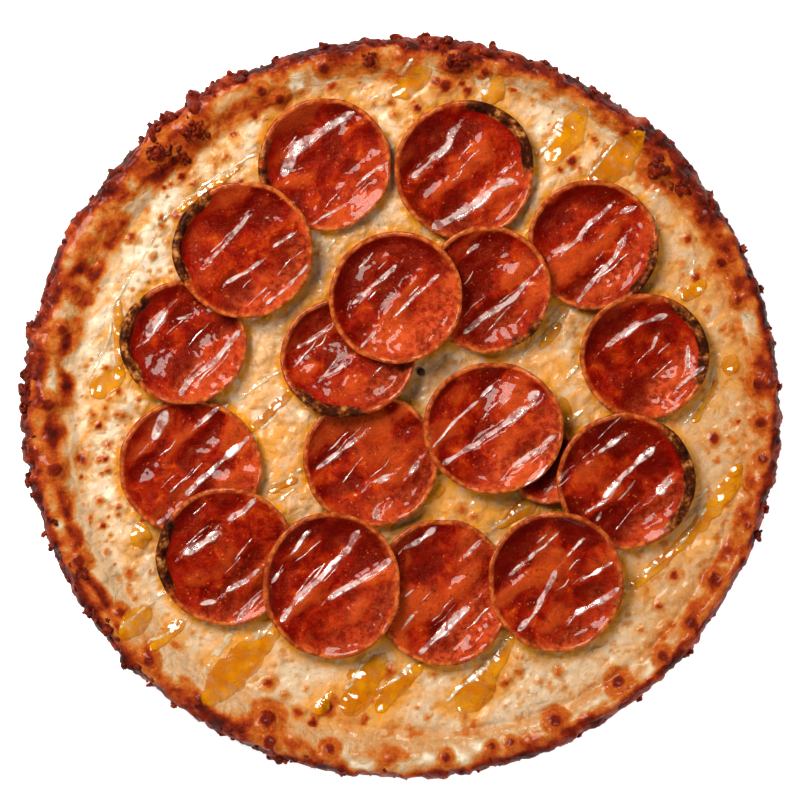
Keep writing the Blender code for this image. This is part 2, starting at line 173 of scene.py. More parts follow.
def full_turn(count):
    return np.linspace(0, 2 * math.pi, count, endpoint=False)


# Meshes.

def linked(name, data):
    """A new object in the scene, with the mesh, light or camera given."""
    obj = bpy.data.objects.new(name, data)
    bpy.context.scene.collection.objects.link(obj)
    return obj


def new_object(name, points, faces, attributes):
    """A smooth mesh. Each attribute has a value for every point, which the materials read."""
    mesh = bpy.data.meshes.new(name)
    mesh.from_pydata(points.reshape(-1, 3), [], faces)
    for key, values in attributes.items():
        layer = mesh.attributes.new(key, "FLOAT", "POINT")
        layer.data.foreach_set("value", np.ascontiguousarray(values, dtype=np.float32).ravel())
    mesh.shade_smooth()
    return linked(name, mesh)


@contextmanager
def edited(mesh):
    """The mesh as a BMesh, which is written back afterwards."""
    bm = bmesh.new()
    bm.from_mesh(mesh)
    yield bm
    bm.to_mesh(mesh)
    bm.free()


def delete_loose(bm):
    bmesh.ops.delete(bm, geom=[v for v in bm.verts if not v.link_faces], context="VERTS")


def loops_of(count, sides, first=0):
    """Numbers of points that lie in rows, each a closed loop, and the four-sided faces between the rows."""
    index = first + np.arange(count * sides).reshape(count, sides)
    following = np.roll(index, -1, axis=1)
    return index, following, np.stack([index[:-1], index[1:], following[1:], following[:-1]], axis=-1)


def lattice(name, rows, attributes):
    """A closed round surface from rows of points. The first and last row each shrink to one point."""
    index, following, quads = loops_of(*rows.shape[:2])
    faces = quads[1:-1].reshape(-1, 4).tolist()
    first, last = index[0, 0], index[-1, 0]
    faces += [[first, a, b] for a, b in zip(index[1].tolist(), following[1].tolist())]
    faces += [[last, b, a] for a, b in zip(index[-2].tolist(), following[-2].tolist())]
    obj = new_object(name, rows, faces, attributes)
    with edited(obj.data) as bm:
        delete_loose(bm)
    return obj


def tree_of(*objects):
    points, faces = [], []
    for obj in objects:
        first = len(points)
        points += [v.co.copy() for v in obj.data.vertices]
        faces += [[first + i for i in face.vertices] for face in obj.data.polygons]
    return BVHTree.FromPolygons(points, faces)


def heights_under(tree, x, y, missing=0.0):
    """Height of the topmost surface at each place."""
    down, above = Vector((0, 0, -1)), 100 * MM
    found = np.full(np.size(x), missing)
    for n, (px, py) in enumerate(zip(np.ravel(x), np.ravel(y))):
        hit = tree.ray_cast(Vector((px, py, above)), down)[0]
        if hit:
            found[n] = hit.z
    return found.reshape(np.shape(x))


def height_at(tree, x, y):
    return heights_under(tree, np.array([x]), np.array([y]))[0]


def softened(values):
    """The values between the first and the last, each evened out a little with its neighbours."""
    return (values[:-2] + 2 * values[1:-1] + values[2:]) / 4


# The crust: a turned section, pushed in and out by lumps of several sizes.

CRUST_AROUND = 1060
SECTION_STEP = 0.72 * MM


def around(angle, size):
    """Cells of about a size that fit a whole number of times round the pizza, and the place in them."""
    count = round(2 * math.pi * PIZZA_RADIUS / size)
    return angle / (2 * math.pi) * count, count


def section_points():
    """The rim's section as evenly spaced points: share of the width, share of the crest's height."""
    shares, levels = np.array(((-0.45, 0.55),) + RIM_SECTION).T
    scale = np.array([15 * MM, CREST_HEIGHT])
    steps = np.hypot(np.diff(shares) * scale[0], np.diff(levels) * scale[1])
    along = np.concatenate([[0], np.cumsum(steps)])
    fine = np.linspace(0, along[-1], int(along[-1] / SECTION_STEP))
    share, level = np.interp(fine, along, shares), np.interp(fine, along, levels)
    for _ in range(14):
        share[1:-1] = softened(share)
        level[1:-1] = softened(level)
    return share, level, fine


# By direction in degrees: how brown the rim is, how wide its burnt edge is and how far in from the outline it is
# browned, both in mm, and how large the crags are.
RIM_BROWN = ((0, 0.42), (30, 0.45), (60, 0.44), (90, 0.5), (130, 0.46), (180, 0.46), (215, 0.43), (270, 0.43),
             (320, 0.44))
BAND_WIDTH = ((0, 2.9), (15, 3.2), (30, 3.5), (45, 4), (60, 3.8), (75, 4.2), (90, 4.8), (105, 3.8), (120, 3.2),
              (150, 2.8), (165, 4.2), (180, 2.9), (225, 2.5), (255, 2.4), (285, 2.7), (315, 2.6), (330, 2.6))
BROWN_WIDTH = ((0, 9), (15, 10), (30, 13), (60, 11.5), (75, 13), (90, 15), (120, 17), (135, 15), (150, 16),
               (165, 17), (180, 13), (195, 10.5), (210, 9.5), (240, 7.5), (255, 8.5), (270, 8.5), (315, 9),
               (330, 9.5), (345, 10))
CRAG_SIZE = ((0, 0.8), (45, 1), (90, 0.9), (140, 1.1), (180, 1.1), (230, 0.95), (270, 0.8), (320, 0.7))

# Blisters of browned cheese on the rim: pixel, radius in pixels, how brown the middle is.
Blister = namedtuple("Blister", "x y radius brown")
RIM_BLISTERS = tuple(Blister(*row) for row in (
    (155, 125, 14, 0.95), (194, 132, 11, 0.95), (182, 158, 9, 0.9), (158, 155, 11, 0.9), (110, 187, 8, 0.75),
    (107, 190, 6, 0.7), (280, 99, 8, 0.8), (262, 92, 7, 0.8), (371, 62, 8, 0.85), (324, 69, 8, 0.8),
    (458, 63, 13, 0.9), (485, 72, 6, 0.8), (655, 170, 13, 0.88), (680, 189, 9, 0.85), (703, 219, 8, 0.8),
    (722, 263, 8, 0.8), (738, 300, 7, 0.7), (759, 384, 10, 0.75), (761, 423, 8, 0.72), (762, 459, 7, 0.7),
    (771, 483, 6, 0.7), (747, 525, 5, 0.65), (715, 580, 10, 0.78), (692, 623, 8, 0.72), (663, 656, 8, 0.72),
    (618, 682, 10, 0.75), (555, 720, 10, 0.78), (511, 742, 5, 0.7), (492, 746, 5, 0.7), (446, 757, 6, 0.68),
    (268, 718, 13, 0.7), (270, 740, 9, 0.8), (199, 703, 7, 0.7), (150, 660, 8, 0.7), (80, 560, 9, 0.72),
    (55, 470, 10, 0.75), (52, 440, 7, 0.7), (48, 405, 9, 0.8), (62, 330, 7, 0.7), (75, 290, 7, 0.65),
    (640, 130, 9, 0.75), (560, 85, 8, 0.7), (600, 105, 7, 0.7), (120, 612, 7, 0.7), (330, 748, 8, 0.65),
))


def crust_rows():
    share, level, along = section_points()
    angle = full_turn(CRUST_AROUND)
    inner, outer = rim_inner(angle)[None, :], rim_outer(angle)[None, :]
    radius = inner + share[:, None] * (outer - inner)
    height = np.repeat(level[:, None] * CREST_HEIGHT, CRUST_AROUND, axis=1)
    out_r, out_z = np.gradient(-height, axis=0), np.gradient(radius, axis=0)
    length = np.hypot(out_r, out_z)
    push, brown = crust_relief(share[:, None], radius, height, angle[None, :], along[:, None])
    radius = radius + push * out_r / length
    height = np.maximum(height + push * out_z / length, 0)
    return angle, radius, height, brown


def rim_tone(radius, angle):
    """How brown the rim is where it is seen from above, and the share that is burnt.

    From the outline inwards it is burnt, then orange, then as pale as the cheese, which it meets without a seam.
    """
    def waves(size, seed):
        place, count = around(angle, size * MM)
        return bumps(place, radius / (size * MM), 1, seed, count)

    from_edge = (rim_outer(angle) - radius) / MM
    band = by_direction(BAND_WIDTH, angle) * (1 + 0.4 * waves(9, 63) + 0.3 * waves(4, 64))
    end = np.maximum(by_direction(BROWN_WIDTH, angle) * (1 + 0.3 * waves(14, 60) + 0.2 * waves(6, 59)), band + 2)
    share = (from_edge - band) / (end - band)
    level = by_direction(RIM_BROWN, angle)
    lengthwise, count = around(angle, 16 * MM)
    patches = 0.22 * bumps(lengthwise, radius / (4 * MM), 1, 61, count) + 0.16 * waves(5, 69) + 0.1 * waves(2.4, 62)
    pale = 0.19 + 0.05 * ramp(np.sin(angle) - np.cos(angle), 0.2, -0.8)
    brown = pale + (level - pale) * ramp(share, 1.25, 0.35) + patches * ramp(share, 1.6, 0.8)
    left = ramp(np.cos(angle), -0.15, -0.6) * ramp(np.abs(share - 0.95), 0.42, 0.1)
    brown = brown + 0.24 * left * (1 + waves(7, 58)) + 0.14 * ramp(share, 0.3, 0)
    burnt = ramp(from_edge, band + 0.8, band - 0.8)
    dark = 0.77 + 0.16 * waves(3, 65) + 0.1 * waves(7, 68)
    return brown * (1 - burnt) + dark * burnt, burnt


def blisters_at(x, y):
    """Each blister on the rim: its radius, how many radii away each place is, and how brown it makes the place."""
    wobble = 1 + 0.12 * bumps(x, y, 2.5 * MM, 67)
    for blister in RIM_BLISTERS:
        place_x, place_y = from_photo(blister.x, blister.y)
        size = blister.radius * PIXEL
        apart = np.hypot(x - place_x, y - place_y) / size * wobble
        ring = 0.44 * ramp(apart, 2.2, 1.3)
        yield size, apart, np.maximum(ring, min(blister.brown, 0.72) * ramp(apart, 1.2, 0.4))


def crust_relief(share, radius, height, angle, along):
    """How far the surface is pushed out, and how brown it is, at each point of the rim."""
    def lumps(size, seed, fill=0.75):
        place, count = around(angle, size)
        return domes(place, along / size, 1, seed, count, fill)

    def waves(size, seed):
        place, count = around(angle, size)
        return bumps(place, along / size, 1, seed, count)

    on_top = np.arange(len(share))[:, None] < np.argmax(share >= 0.99)
    brown, burnt = rim_tone(radius, angle)
    burnt = np.where(on_top, burnt, 1.0)
    crest = ramp(height, 8 * MM, 14 * MM)
    swell = 0.55 + 0.6 * ramp(waves(16 * MM, 71), -0.5, 0.8)
    soft = 0.8 * MM * waves(11 * MM, 11) + 0.5 * MM * waves(5 * MM, 12) + 0.6 * MM * lumps(6.5 * MM, 31, 0.4)
    soft = soft + 0.3 * MM * lumps(3 * MM, 32, 0.4)
    crag = 2.1 * MM * lumps(7 * MM, 41, 0.6) + 1.1 * MM * lumps(3.4 * MM, 43) + 0.5 * MM * lumps(1.6 * MM, 44)
    crag = crag + 0.5 * MM * (1 - np.abs(waves(2.4 * MM, 42)))
    fine = 0.1 * MM * waves(1.4 * MM, 51)
    on_rim = ramp(share, -0.25, 0.05)
    rough = by_direction(CRAG_SIZE, angle) * (0.3 + 0.7 * crest) * swell
    sunk = (1.1 - 0.38 * np.cos(angle) + 0.56 * np.sin(angle)) * MM
    push = (1 - burnt) * soft * on_rim + burnt * (rough * crag - sunk) + fine
    wall = 0.68 - 0.07 * ramp(height, 12 * MM, 2 * MM) + 0.1 * waves(5 * MM, 68) - 0.1 * lumps(3.4 * MM, 43)
    brown = np.where(on_top, brown - 0.1 * burnt * lumps(3.4 * MM, 43), wall)
    x, y = radius * np.cos(angle), radius * np.sin(angle)
    top = on_top & (height > 9 * MM)
    uneven = 0.8 + 0.4 * waves(1.3 * MM, 66)
    for size, apart, tone in blisters_at(x, y):
        push = push + np.where(top, 0.4 * size * np.sqrt(np.clip(1 - apart ** 2, 0, 1)) * uneven, 0)
        brown = np.where(top, np.maximum(brown, tone), brown)
    return push, np.clip(brown, 0, 1)


def build_crust():
    angle, radius, height, brown = crust_rows()
    floor = rim_inner(angle) - 7.5 * MM
    flat_radii = np.stack([0 * floor, 0.5 * floor, floor])
    under = radius[-1] * np.linspace(0.9, 0, 4)[:, None]
    radius = np.concatenate([flat_radii, radius, under])
    height = np.concatenate([np.full_like(flat_radii, HOLLOW_FLOOR), height, 0 * under])
    brown = np.concatenate([np.full_like(flat_radii, 0.1), brown, 0.45 + 0 * under])
    rows = np.stack([radius * np.cos(angle), radius * np.sin(angle), height], axis=-1)
    obj = lattice("crust_surface", rows, {"brown": brown})
    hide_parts("crust")
    return obj


# Crags: lumps of burnt cheese that stand out from the edge of the rim.

Crag = namedtuple("Crag", "x y size")
PHOTO_CRAGS = tuple(Crag(*row) for row in (
    (27, 374, 15), (25, 392, 15), (30, 408, 13), (22, 481, 12), (27, 484, 9), (168, 119, 17), (176, 126, 12),
    (196, 101, 19), (205, 96, 12), (143, 140, 9), (240, 68, 11), (232, 77, 10), (275, 58, 10), (322, 39, 11),
    (395, 31, 10), (425, 33, 11), (447, 39, 11), (493, 47, 9), (605, 96, 8), (710, 195, 9), (750, 246, 10),
    (760, 290, 9), (775, 345, 8), (771, 510, 9), (756, 534, 10), (690, 652, 10), (640, 698, 10), (578, 733, 9),
    (284, 755, 13), (282, 748, 11), (171, 708, 11), (80, 618, 11), (47, 548, 9), (110, 187, 9), (62, 240, 9),
    (88, 196, 9), (300, 738, 8), (50, 570, 8), (36, 440, 8), (45, 300, 8), (122, 668, 8), (225, 728, 9),
))
CRAG_COUNT = 80                 # nuggets, each with small lumps on it
CRAG_RADII = (0.9 * MM, 1.9 * MM)
TINY_COUNT = 500
TINY_RADII = (0.35 * MM, 0.9 * MM)
PLAIN_LUMP = 0.55 * MM          # lumps smaller than this have few sides
BURNT_BLISTER = 0.84            # blisters browner than this have small lumps on them
BLISTER_LUMPS = 26


def ball(rounds):
    """Points and faces of a ball of radius 1, with the more faces the more rounds."""
    bm = bmesh.new()
    bmesh.ops.create_icosphere(bm, subdivisions=rounds, radius=1)
    points = np.array([v.co for v in bm.verts])
    faces = np.array([[v.index for v in f.verts] for f in bm.faces])
    bm.free()
    return points, faces


class Lumps:
    """Many balls with dents and knobs, gathered into one mesh."""

    def __init__(self, seed):
        self.draw = np.random.default_rng(seed)
        self.balls = {rounds: ball(rounds) for rounds in (1, 2, 3)}
        self.points, self.faces, self.brown, self.count = [], [], [], 0

    def add(self, place, radius, rounds=2, flat=1.0):
        draw = self.draw
        if radius < PLAIN_LUMP:
            rounds = 1
        points, faces = self.balls[rounds]
        knobs = draw.normal(size=(14, 3))
        knobs /= np.linalg.norm(knobs, axis=1)[:, None]
        swell = 1 + 2.6 * (np.clip(points @ knobs.T - 0.6, 0, 1) * draw.uniform(-0.7, 0.9, 14)).sum(axis=1)
        size = radius * draw.uniform(0.75, 1.25, 3) * (1, 1, flat)
        turn = draw.uniform(0, 2 * math.pi)
        shaped = points * swell[:, None] * size
        x = shaped[:, 0] * math.cos(turn) - shaped[:, 1] * math.sin(turn)
        y = shaped[:, 0] * math.sin(turn) + shaped[:, 1] * math.cos(turn)
        self.points.append(np.stack([x, y, shaped[:, 2]], axis=1) + place)
        self.faces.append(faces + self.count)
        self.brown.append(np.full(len(points), draw.uniform(0.62, 0.8)))
        self.count += len(points)

    def build(self, name):
        faces = np.concatenate(self.faces).tolist()
        return new_object(name, np.concatenate(self.points), faces, {"brown": np.concatenate(self.brown)})


def wall_at(crust_tree, angle, height):
    """Radius of the crust's outer wall in a direction, at a height."""
    out = Vector((math.cos(angle), math.sin(angle), 0))
    hit = crust_tree.ray_cast(out * 0.2 + Vector((0, 0, height)), -out)[0]
    return hit.to_2d().length if hit else 0.0


def build_crags(crust_tree):
    """Lumps all round the outer edge. Those measured in the photo come first, each with smaller ones on it."""
    lumps = Lumps(83)
    draw = lumps.draw

    def at(angle, reach, height):
        return np.array((reach * math.cos(angle), reach * math.sin(angle), height))

    def nugget(angle, reach, height, radius):
        """A knobby lump, made of a ball and many small ones set into it."""
        middle = at(angle, reach, height)
        lumps.add(middle, radius * 0.85, 3)
        for _ in range(int(10 + 5 * radius / MM)):
            way = draw.normal(size=3)
            way[2] = abs(way[2])
            way /= np.linalg.norm(way)
            lumps.add(middle + way * radius * draw.uniform(0.6, 0.95), radius * draw.uniform(0.2, 0.42))

    for crag in PHOTO_CRAGS:
        x, y = from_photo(crag.x, crag.y)
        angle, radius = math.atan2(y, x), 0.42 * crag.size * PIXEL
        height = CREST_HEIGHT * draw.uniform(0.65, 0.8)
        wall = wall_at(crust_tree, angle, height)
        nugget(angle, min(max(math.hypot(x, y), wall - 0.6 * radius), wall - 0.1 * radius), height, radius)
    for count, radii in ((CRAG_COUNT, CRAG_RADII), (TINY_COUNT, TINY_RADII)):
        for _ in range(count):
            angle = draw.uniform(0, 2 * math.pi)
            height = CREST_HEIGHT * draw.uniform(0.12, 0.97)
            wall = wall_at(crust_tree, angle, height)
            radius = draw.uniform(*radii) * by_direction(CRAG_SIZE, angle)
            if wall < PIZZA_RADIUS - 9 * MM:
                continue
            if count == CRAG_COUNT:
                nugget(angle, wall - radius * draw.uniform(0.4, 0.9), height, radius)
            else:
                lumps.add(at(angle, wall - radius * draw.uniform(0.2, 0.7), height), radius)
    for blister in RIM_BLISTERS:
        if blister.brown > BURNT_BLISTER:
            x, y = from_photo(blister.x, blister.y)
            size = blister.radius * PIXEL
            for _ in range(BLISTER_LUMPS):
                near_x, near_y = x + draw.normal(0, 0.42 * size), y + draw.normal(0, 0.42 * size)
                high = height_at(crust_tree, near_x, near_y)
                radius = size * draw.uniform(0.12, 0.28)
                if high > 0.6 * CREST_HEIGHT:
                    lumps.add((near_x, near_y, high), radius, flat=0.8)
    return lumps.build("crust_crags")


def finish_bmesh(name, bm):
    mesh = bpy.data.meshes.new(name)
    bm.to_mesh(mesh)
    bm.free()
    mesh.shade_smooth()
    return linked(name, mesh)


# The cheese: one uneven sheet with blisters and browned spots, which climbs a little way up the rim.

CHEESE_CELL = 0.78 * MM
CLIMB = 1.6 * MM                # how far the cheese's edge climbs the rim
SHEET_BOTTOM = HOLLOW_FLOOR + 1 * MM
Spot = namedtuple("Spot", "x y radius brown")
PHOTO_SPOTS = tuple(Spot(*row) for row in (
    (99, 426, 5, 0.7), (82, 459, 8, 0.8), (105, 459, 4, 0.75), (108, 445, 4, 0.6), (82, 477, 3, 0.7),
    (105, 408, 3, 0.6), (108, 471, 3, 0.6), (118, 507, 3, 0.6), (89, 523, 4, 0.65), (103, 526, 4, 0.7),
    (182, 177, 6, 0.7), (171, 184, 3, 0.7), (164, 188, 3, 0.7), (177, 216, 6, 0.6), (131, 237, 6, 0.6),
    (240, 182, 4, 0.7), (446, 86, 10, 0.75), (436, 82, 7, 0.7), (373, 68, 8, 0.75), (418, 108, 6, 0.7),
    (468, 90, 6, 0.75), (513, 88, 6, 0.75), (458, 63, 13, 0.8), (688, 240, 6, 0.65), (696, 278, 7, 0.7),
    (713, 439, 8, 0.75), (738, 421, 3, 0.7), (736, 473, 7, 0.65), (674, 576, 6, 0.7), (658, 606, 5, 0.6),
    (571, 161, 6, 0.75), (560, 170, 4, 0.7), (594, 140, 5, 0.6), (566, 131, 6, 0.6), (530, 147, 5, 0.5),
    (655, 170, 12, 0.8), (664, 185, 7, 0.75), (518, 672, 6, 0.45), (558, 672, 6, 0.45), (505, 683, 6, 0.5),
    (268, 683, 7, 0.6), (312, 724, 9, 0.8), (328, 706, 8, 0.7), (298, 712, 7, 0.6), (388, 668, 7, 0.55),
    (175, 645, 7, 0.45), (130, 573, 6, 0.5), (116, 580, 6, 0.5), (270, 238, 4, 0.5), (233, 134, 5, 0.6),
    (255, 116, 5, 0.7), (281, 98, 7, 0.6), (300, 88, 9, 0.5), (332, 84, 8, 0.55), (462, 510, 6, 0.5),
    (474, 517, 5, 0.45), (462, 84, 5, 0.7), (580, 120, 4, 0.7), (706, 310, 4, 0.45), (722, 330, 3, 0.5),
))
# Bands where small browned bubbles crowd: directions in degrees, radii in mm, how many, and how brown.
Band = namedtuple("Band", "start end near far count brown")
SPECKLE_BANDS = (
    Band(95, 165, 98, 124, 130, 0.46), Band(165, 215, 94, 126, 120, 0.48), Band(50, 95, 106, 126, 70, 0.46),
    Band(-50, 50, 108, 128, 50, 0.36), Band(215, 310, 98, 128, 90, 0.38), Band(0, 360, 0, 110, 150, 0.3),
)
# Where honey and oil have soaked into the cheese: pixel, radius in pixels, strength.
Stain = namedtuple("Stain", "x y radius strength")
STAINS = tuple(Stain(*row) for row in (
    (282, 440, 30, 0.85), (285, 480, 28, 0.8), (262, 380, 32, 0.6), (440, 500, 44, 0.85), (505, 500, 36, 0.9),
    (560, 375, 26, 0.8), (545, 340, 26, 0.6), (270, 350, 26, 0.5), (430, 375, 24, 0.5), (573, 140, 32, 0.9),
    (610, 170, 26, 0.8), (430, 85, 34, 0.7), (495, 95, 28, 0.8), (380, 100, 24, 0.6), (110, 388, 26, 0.7),
    (122, 330, 16, 0.6), (140, 545, 24, 0.7), (475, 690, 38, 1), (500, 655, 24, 0.8), (350, 705, 48, 1),
    (390, 690, 36, 1), (235, 655, 40, 0.9), (130, 625, 26, 0.7), (165, 640, 24, 0.6), (635, 585, 22, 0.8),
    (690, 540, 32, 0.6), (735, 490, 22, 0.7), (730, 365, 22, 0.7), (698, 292, 22, 0.7), (225, 150, 26, 0.5),
    (200, 190, 22, 0.5), (330, 240, 28, 0.4), (395, 225, 22, 0.5), (665, 270, 18, 0.5), (555, 480, 26, 0.7),
    (400, 520, 26, 0.8), (310, 500, 22, 0.7), (565, 420, 20, 0.8), (705, 395, 20, 0.5), (160, 400, 20, 0.4),
))


def stained(x, y):
    """How far honey has soaked in at each place, between 0 and 1."""
    uneven = 1 + 0.5 * layered(x, y, 8 * MM, 113)
    soaked = np.zeros(np.shape(x))
    for stain in STAINS:
        place_x, place_y = from_photo(stain.x, stain.y)
        long, wide = (x - place_x + y - place_y) / 1.8, (y - place_y - x + place_x) / 1.2
        apart = np.hypot(long, wide) / (stain.radius * PIXEL) * uneven
        soaked = np.maximum(soaked, stain.strength * ramp(apart, 1.25, 0.45))
    return soaked


def speckles():
    """The browned bubbles: those measured in the photo, then small ones drawn at random in each band."""
    found = [(*from_photo(spot.x, spot.y), spot.radius * PIXEL, spot.brown) for spot in PHOTO_SPOTS]
    draw = np.random.default_rng(59)
    for band in SPECKLE_BANDS:
        for _ in range(band.count):
            angle = math.radians(draw.uniform(band.start, band.end))
            radius = math.sqrt(draw.uniform(band.near ** 2, band.far ** 2)) * MM
            size = draw.uniform(0.35, 1.0) ** 2 * 1.7 * MM
            brown = band.brown * draw.uniform(0.5, 1.25)
            found.append((radius * math.cos(angle), radius * math.sin(angle), size, brown))
    return found


def near_slices(x, y):
    """Distance outwards from the nearest slice's edge, in mm."""
    nearest = np.full(np.shape(x), 99.0)
    for row in SLICES:
        share = np.hypot((x / MM - row.x) / row.half_x, (y / MM - row.y) / row.half_y)
        nearest = np.minimum(nearest, (share - 1) * row.half_x)
    return nearest


def cheese_waves(x, y, from_rim):
    """Height of the cheese with its soft lumps, and the trough beside the rim at the lower right."""
    height = CHEESE_TOP + WAVE_HEIGHT * bumps(x, y, WAVE_SIZE, WAVE_SEED)
    height += EDGE_RISE * smoothstep(1 - from_rim / EDGE_WIDTH)
    height += 0.6 * MM * layered(x, y, 9 * MM, 101) + 0.9 * MM * domes(x, y, 8 * MM, 102, fill=0.5)
    height += 0.65 * MM * domes(x, y, 3.6 * MM, 103, fill=0.55) + 0.12 * MM * bumps(x, y, 1.7 * MM, 104)
    across = (y - x) / math.sqrt(2) + 4 * MM * bumps(x, y, 18 * MM, 108)
    height += 0.16 * MM * bumps(across * 4, (x + y) / 3, 6 * MM, 109)
    low = ramp(x - y, -20 * MM, 60 * MM)
    height -= 0.7 * MM * low * np.exp(-((from_rim / MM - 1.8) / 1.1) ** 2)
    return height


def cheese_brown(x, y, from_rim):
    """How brown the plain cheese is: paler towards the upper left and darker towards the right as painted light and
    shade, browner beside the rim.
    """
    # painted light and shade: paler towards the upper left, where the light comes from, and darker towards the right
    lit_upper_left = ramp(x - y, 60 * MM, -160 * MM)
    brown = 0.14 - 0.1 * lit_upper_left + 0.06 * ramp(x, 70 * MM, 110 * MM)
    brown += 0.05 * np.clip(layered(x, y, 14 * MM, 105), 0, 1)
    brown += 0.14 * ramp(layered(x, y, 3.4 * MM, 110), 0.3, 0.5)
    brown += 0.1 * ramp(from_rim, 9 * MM, 0) * (0.7 + bumps(x, y, 7 * MM, 114))
    return brown


def add_speckles(x, y, height, brown):
    """Raises and browns the cheese where it has a bubble."""
    for spot_x, spot_y, size, shade in speckles():
        low_i, high_i = np.searchsorted(x[:, 0], (spot_x - 3 * size, spot_x + 3 * size))
        low_j, high_j = np.searchsorted(y[0], (spot_y - 3 * size, spot_y + 3 * size))
        part = (slice(low_i, high_i), slice(low_j, high_j))
        near_x, near_y = x[part], y[part]
        wobble = 1 + 0.35 * bumps(near_x, near_y, size * 0.8, 106) + 0.15 * bumps(near_x, near_y, size * 0.4, 99)
        apart = np.hypot(near_x - spot_x, near_y - spot_y) / (size * wobble)
        height[part] += 0.3 * min(size, 2.4 * MM) * np.sqrt(np.clip(1 - apart ** 2, 0, 1))
        dark = min(shade, 0.7) * ramp(apart, 1.15, 0.35)
        halo = 0.32 * ramp(apart, 2.2, 0.95) * min(1, shade / 0.5)
        brown[part] = np.maximum(brown[part], np.maximum(dark, halo))


def climbed(x, y, height, from_rim, crust_tree):
    """The cheese's height where it climbs the rim as a film that thins out, joined softly to the rest."""
    close = from_rim < 6 * MM
    rim_top = np.zeros_like(height)
    rim_top[close] = heights_under(crust_tree, x[close], y[close])
    reach = CLIMB * (1 + 1.3 * bumps(x, y, 7 * MM, 107))
    film = 0.35 * MM - 0.9 * MM * ramp(-from_rim, 0.2 * reach, reach + 0.9 * MM)
    over = rim_top + film
    blend = 0.5 * MM
    mix = np.clip(0.5 + 0.5 * (over - height) / blend, 0, 1)
    joined = height * (1 - mix) + over * mix + blend * mix * (1 - mix)
    return np.where(close, joined, height)


def cheese_top(x, y, crust_tree):
    """Height, brownness and yellowness of the cheese at each place."""
    radius, angle = np.hypot(x, y), np.arctan2(y, x)
    from_rim = rim_inner(angle) - radius
    height, brown = cheese_waves(x, y, from_rim), cheese_brown(x, y, from_rim)
    add_speckles(x, y, height, brown)
    onto_rim = ramp(from_rim, 4 * MM, -0.5 * MM)
    on_rim = np.maximum(rim_tone(radius, angle)[0], brown * ramp(from_rim, -3 * MM, 0))
    brown = brown * (1 - onto_rim) + on_rim * onto_rim
    height = climbed(x, y, height, from_rim, crust_tree)
    # oil soaked in round the slices, and partly a painted golden glow in the shade they cast
    oil_and_warm_shade = ramp(near_slices(x, y), 6, 1.5) * ramp(layered(x, y, 12 * MM, 111), -0.8, -0.1)
    streaky = 0.8 * ramp(across_oil(x, y), 0.15, 0.5) * ramp(x - y, 150 * MM, 80 * MM)
    soaked = stained(x, y)
    brown = brown + 0.13 * ramp(soaked, 0.86, 1) * (1 - onto_rim)
    for _, _, tone in blisters_at(x, y):
        brown = np.maximum(brown, tone)
    gold = np.clip(np.maximum(np.maximum(oil_and_warm_shade, soaked), streaky), 0, 1) * (1 - onto_rim)
    return height, np.clip(brown, 0, 1), gold


def across_oil(x, y):
    """Streaky noise, long from lower left to upper right, where the honey has run."""
    return layered((y - x) / math.sqrt(2), (x + y) / math.sqrt(2) / 5, 3.6 * MM, 112)


def build_cheese(crust_tree):
    axis = np.arange(-PIZZA_RADIUS, PIZZA_RADIUS, CHEESE_CELL)
    x, y = np.meshgrid(axis, axis, indexing="ij")
    kept = np.hypot(x, y) < rim_inner(np.arctan2(y, x)) + 3.2 * MM
    height, brown, gold = cheese_top(x, y, crust_tree)
    number = np.cumsum(kept).reshape(kept.shape) - 1
    whole = kept[:-1, :-1] & kept[1:, :-1] & kept[1:, 1:] & kept[:-1, 1:]
    corners = (number[:-1, :-1], number[1:, :-1], number[1:, 1:], number[:-1, 1:])
    faces = np.stack([corner[whole] for corner in corners], axis=-1).tolist()
    points = np.stack([x[kept], y[kept], height[kept]], axis=-1)
    obj = new_object("cheese_surface", points, faces, {"brown": brown[kept], "gold": gold[kept]})
    with edited(obj.data) as bm:
        delete_loose(bm)
        border = [edge for edge in bm.edges if edge.is_boundary]
        wall = bmesh.ops.extrude_edge_only(bm, edges=border)["geom"]
        for vert in wall:
            if isinstance(vert, bmesh.types.BMVert):
                vert.co.z = SHEET_BOTTOM
        bmesh.ops.holes_fill(bm, edges=[edge for edge in bm.edges if edge.is_boundary])
    obj.data.shade_smooth()
    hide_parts("cheese")
    return obj


# The slices: round sheets, laid over what is under them and curled up at the edge.

MAP_CELL = 0.75 * MM
MAP_HALF = 142 * MM
SLICE_AROUND = 160
SLICE_RINGS = 46
UNDER_RINGS = 8
CURL_LENGTH = 9 * MM
CUP_ANGLE = 38                  # degrees that every slice's edge turns up
CRISP = 1.0                     # how much thicker the crisped edge is, as a share
CREASE_SLOPE = 0.42             # of the small folds under the runs of honey
FULL_CURL = 4.5                 # mm, the lift at which an edge is curled up and crisped all the way


def map_axis():
    return np.arange(-MAP_HALF, MAP_HALF + MAP_CELL / 2, MAP_CELL)


def read_map(height_map, x, y):
    u, v = (x + MAP_HALF) / MAP_CELL, (y + MAP_HALF) / MAP_CELL
    i, j = np.floor(u).astype(int), np.floor(v).astype(int)
    return between_cells(height_map, (i, i + 1), (j, j + 1), u - i, v - j)


def draped(height_map, inside):
    """The lowest smooth underside over the part of the map that a slice covers, as the part's source has it."""
    covered = np.where(inside, height_map, -1.0)
    reach = int(DRAPE_RADIUS / 2 / MAP_CELL)
    for axis in (0, 1):
        best = covered.copy()
        for cells in range(1, reach + 1):
            fall = (cells * MAP_CELL) ** 2 / (2 * DRAPE_RADIUS)
            best = np.maximum(best, np.roll(covered, cells, axis) - fall)
            best = np.maximum(best, np.roll(covered, -cells, axis) - fall)
        covered = best
    return covered


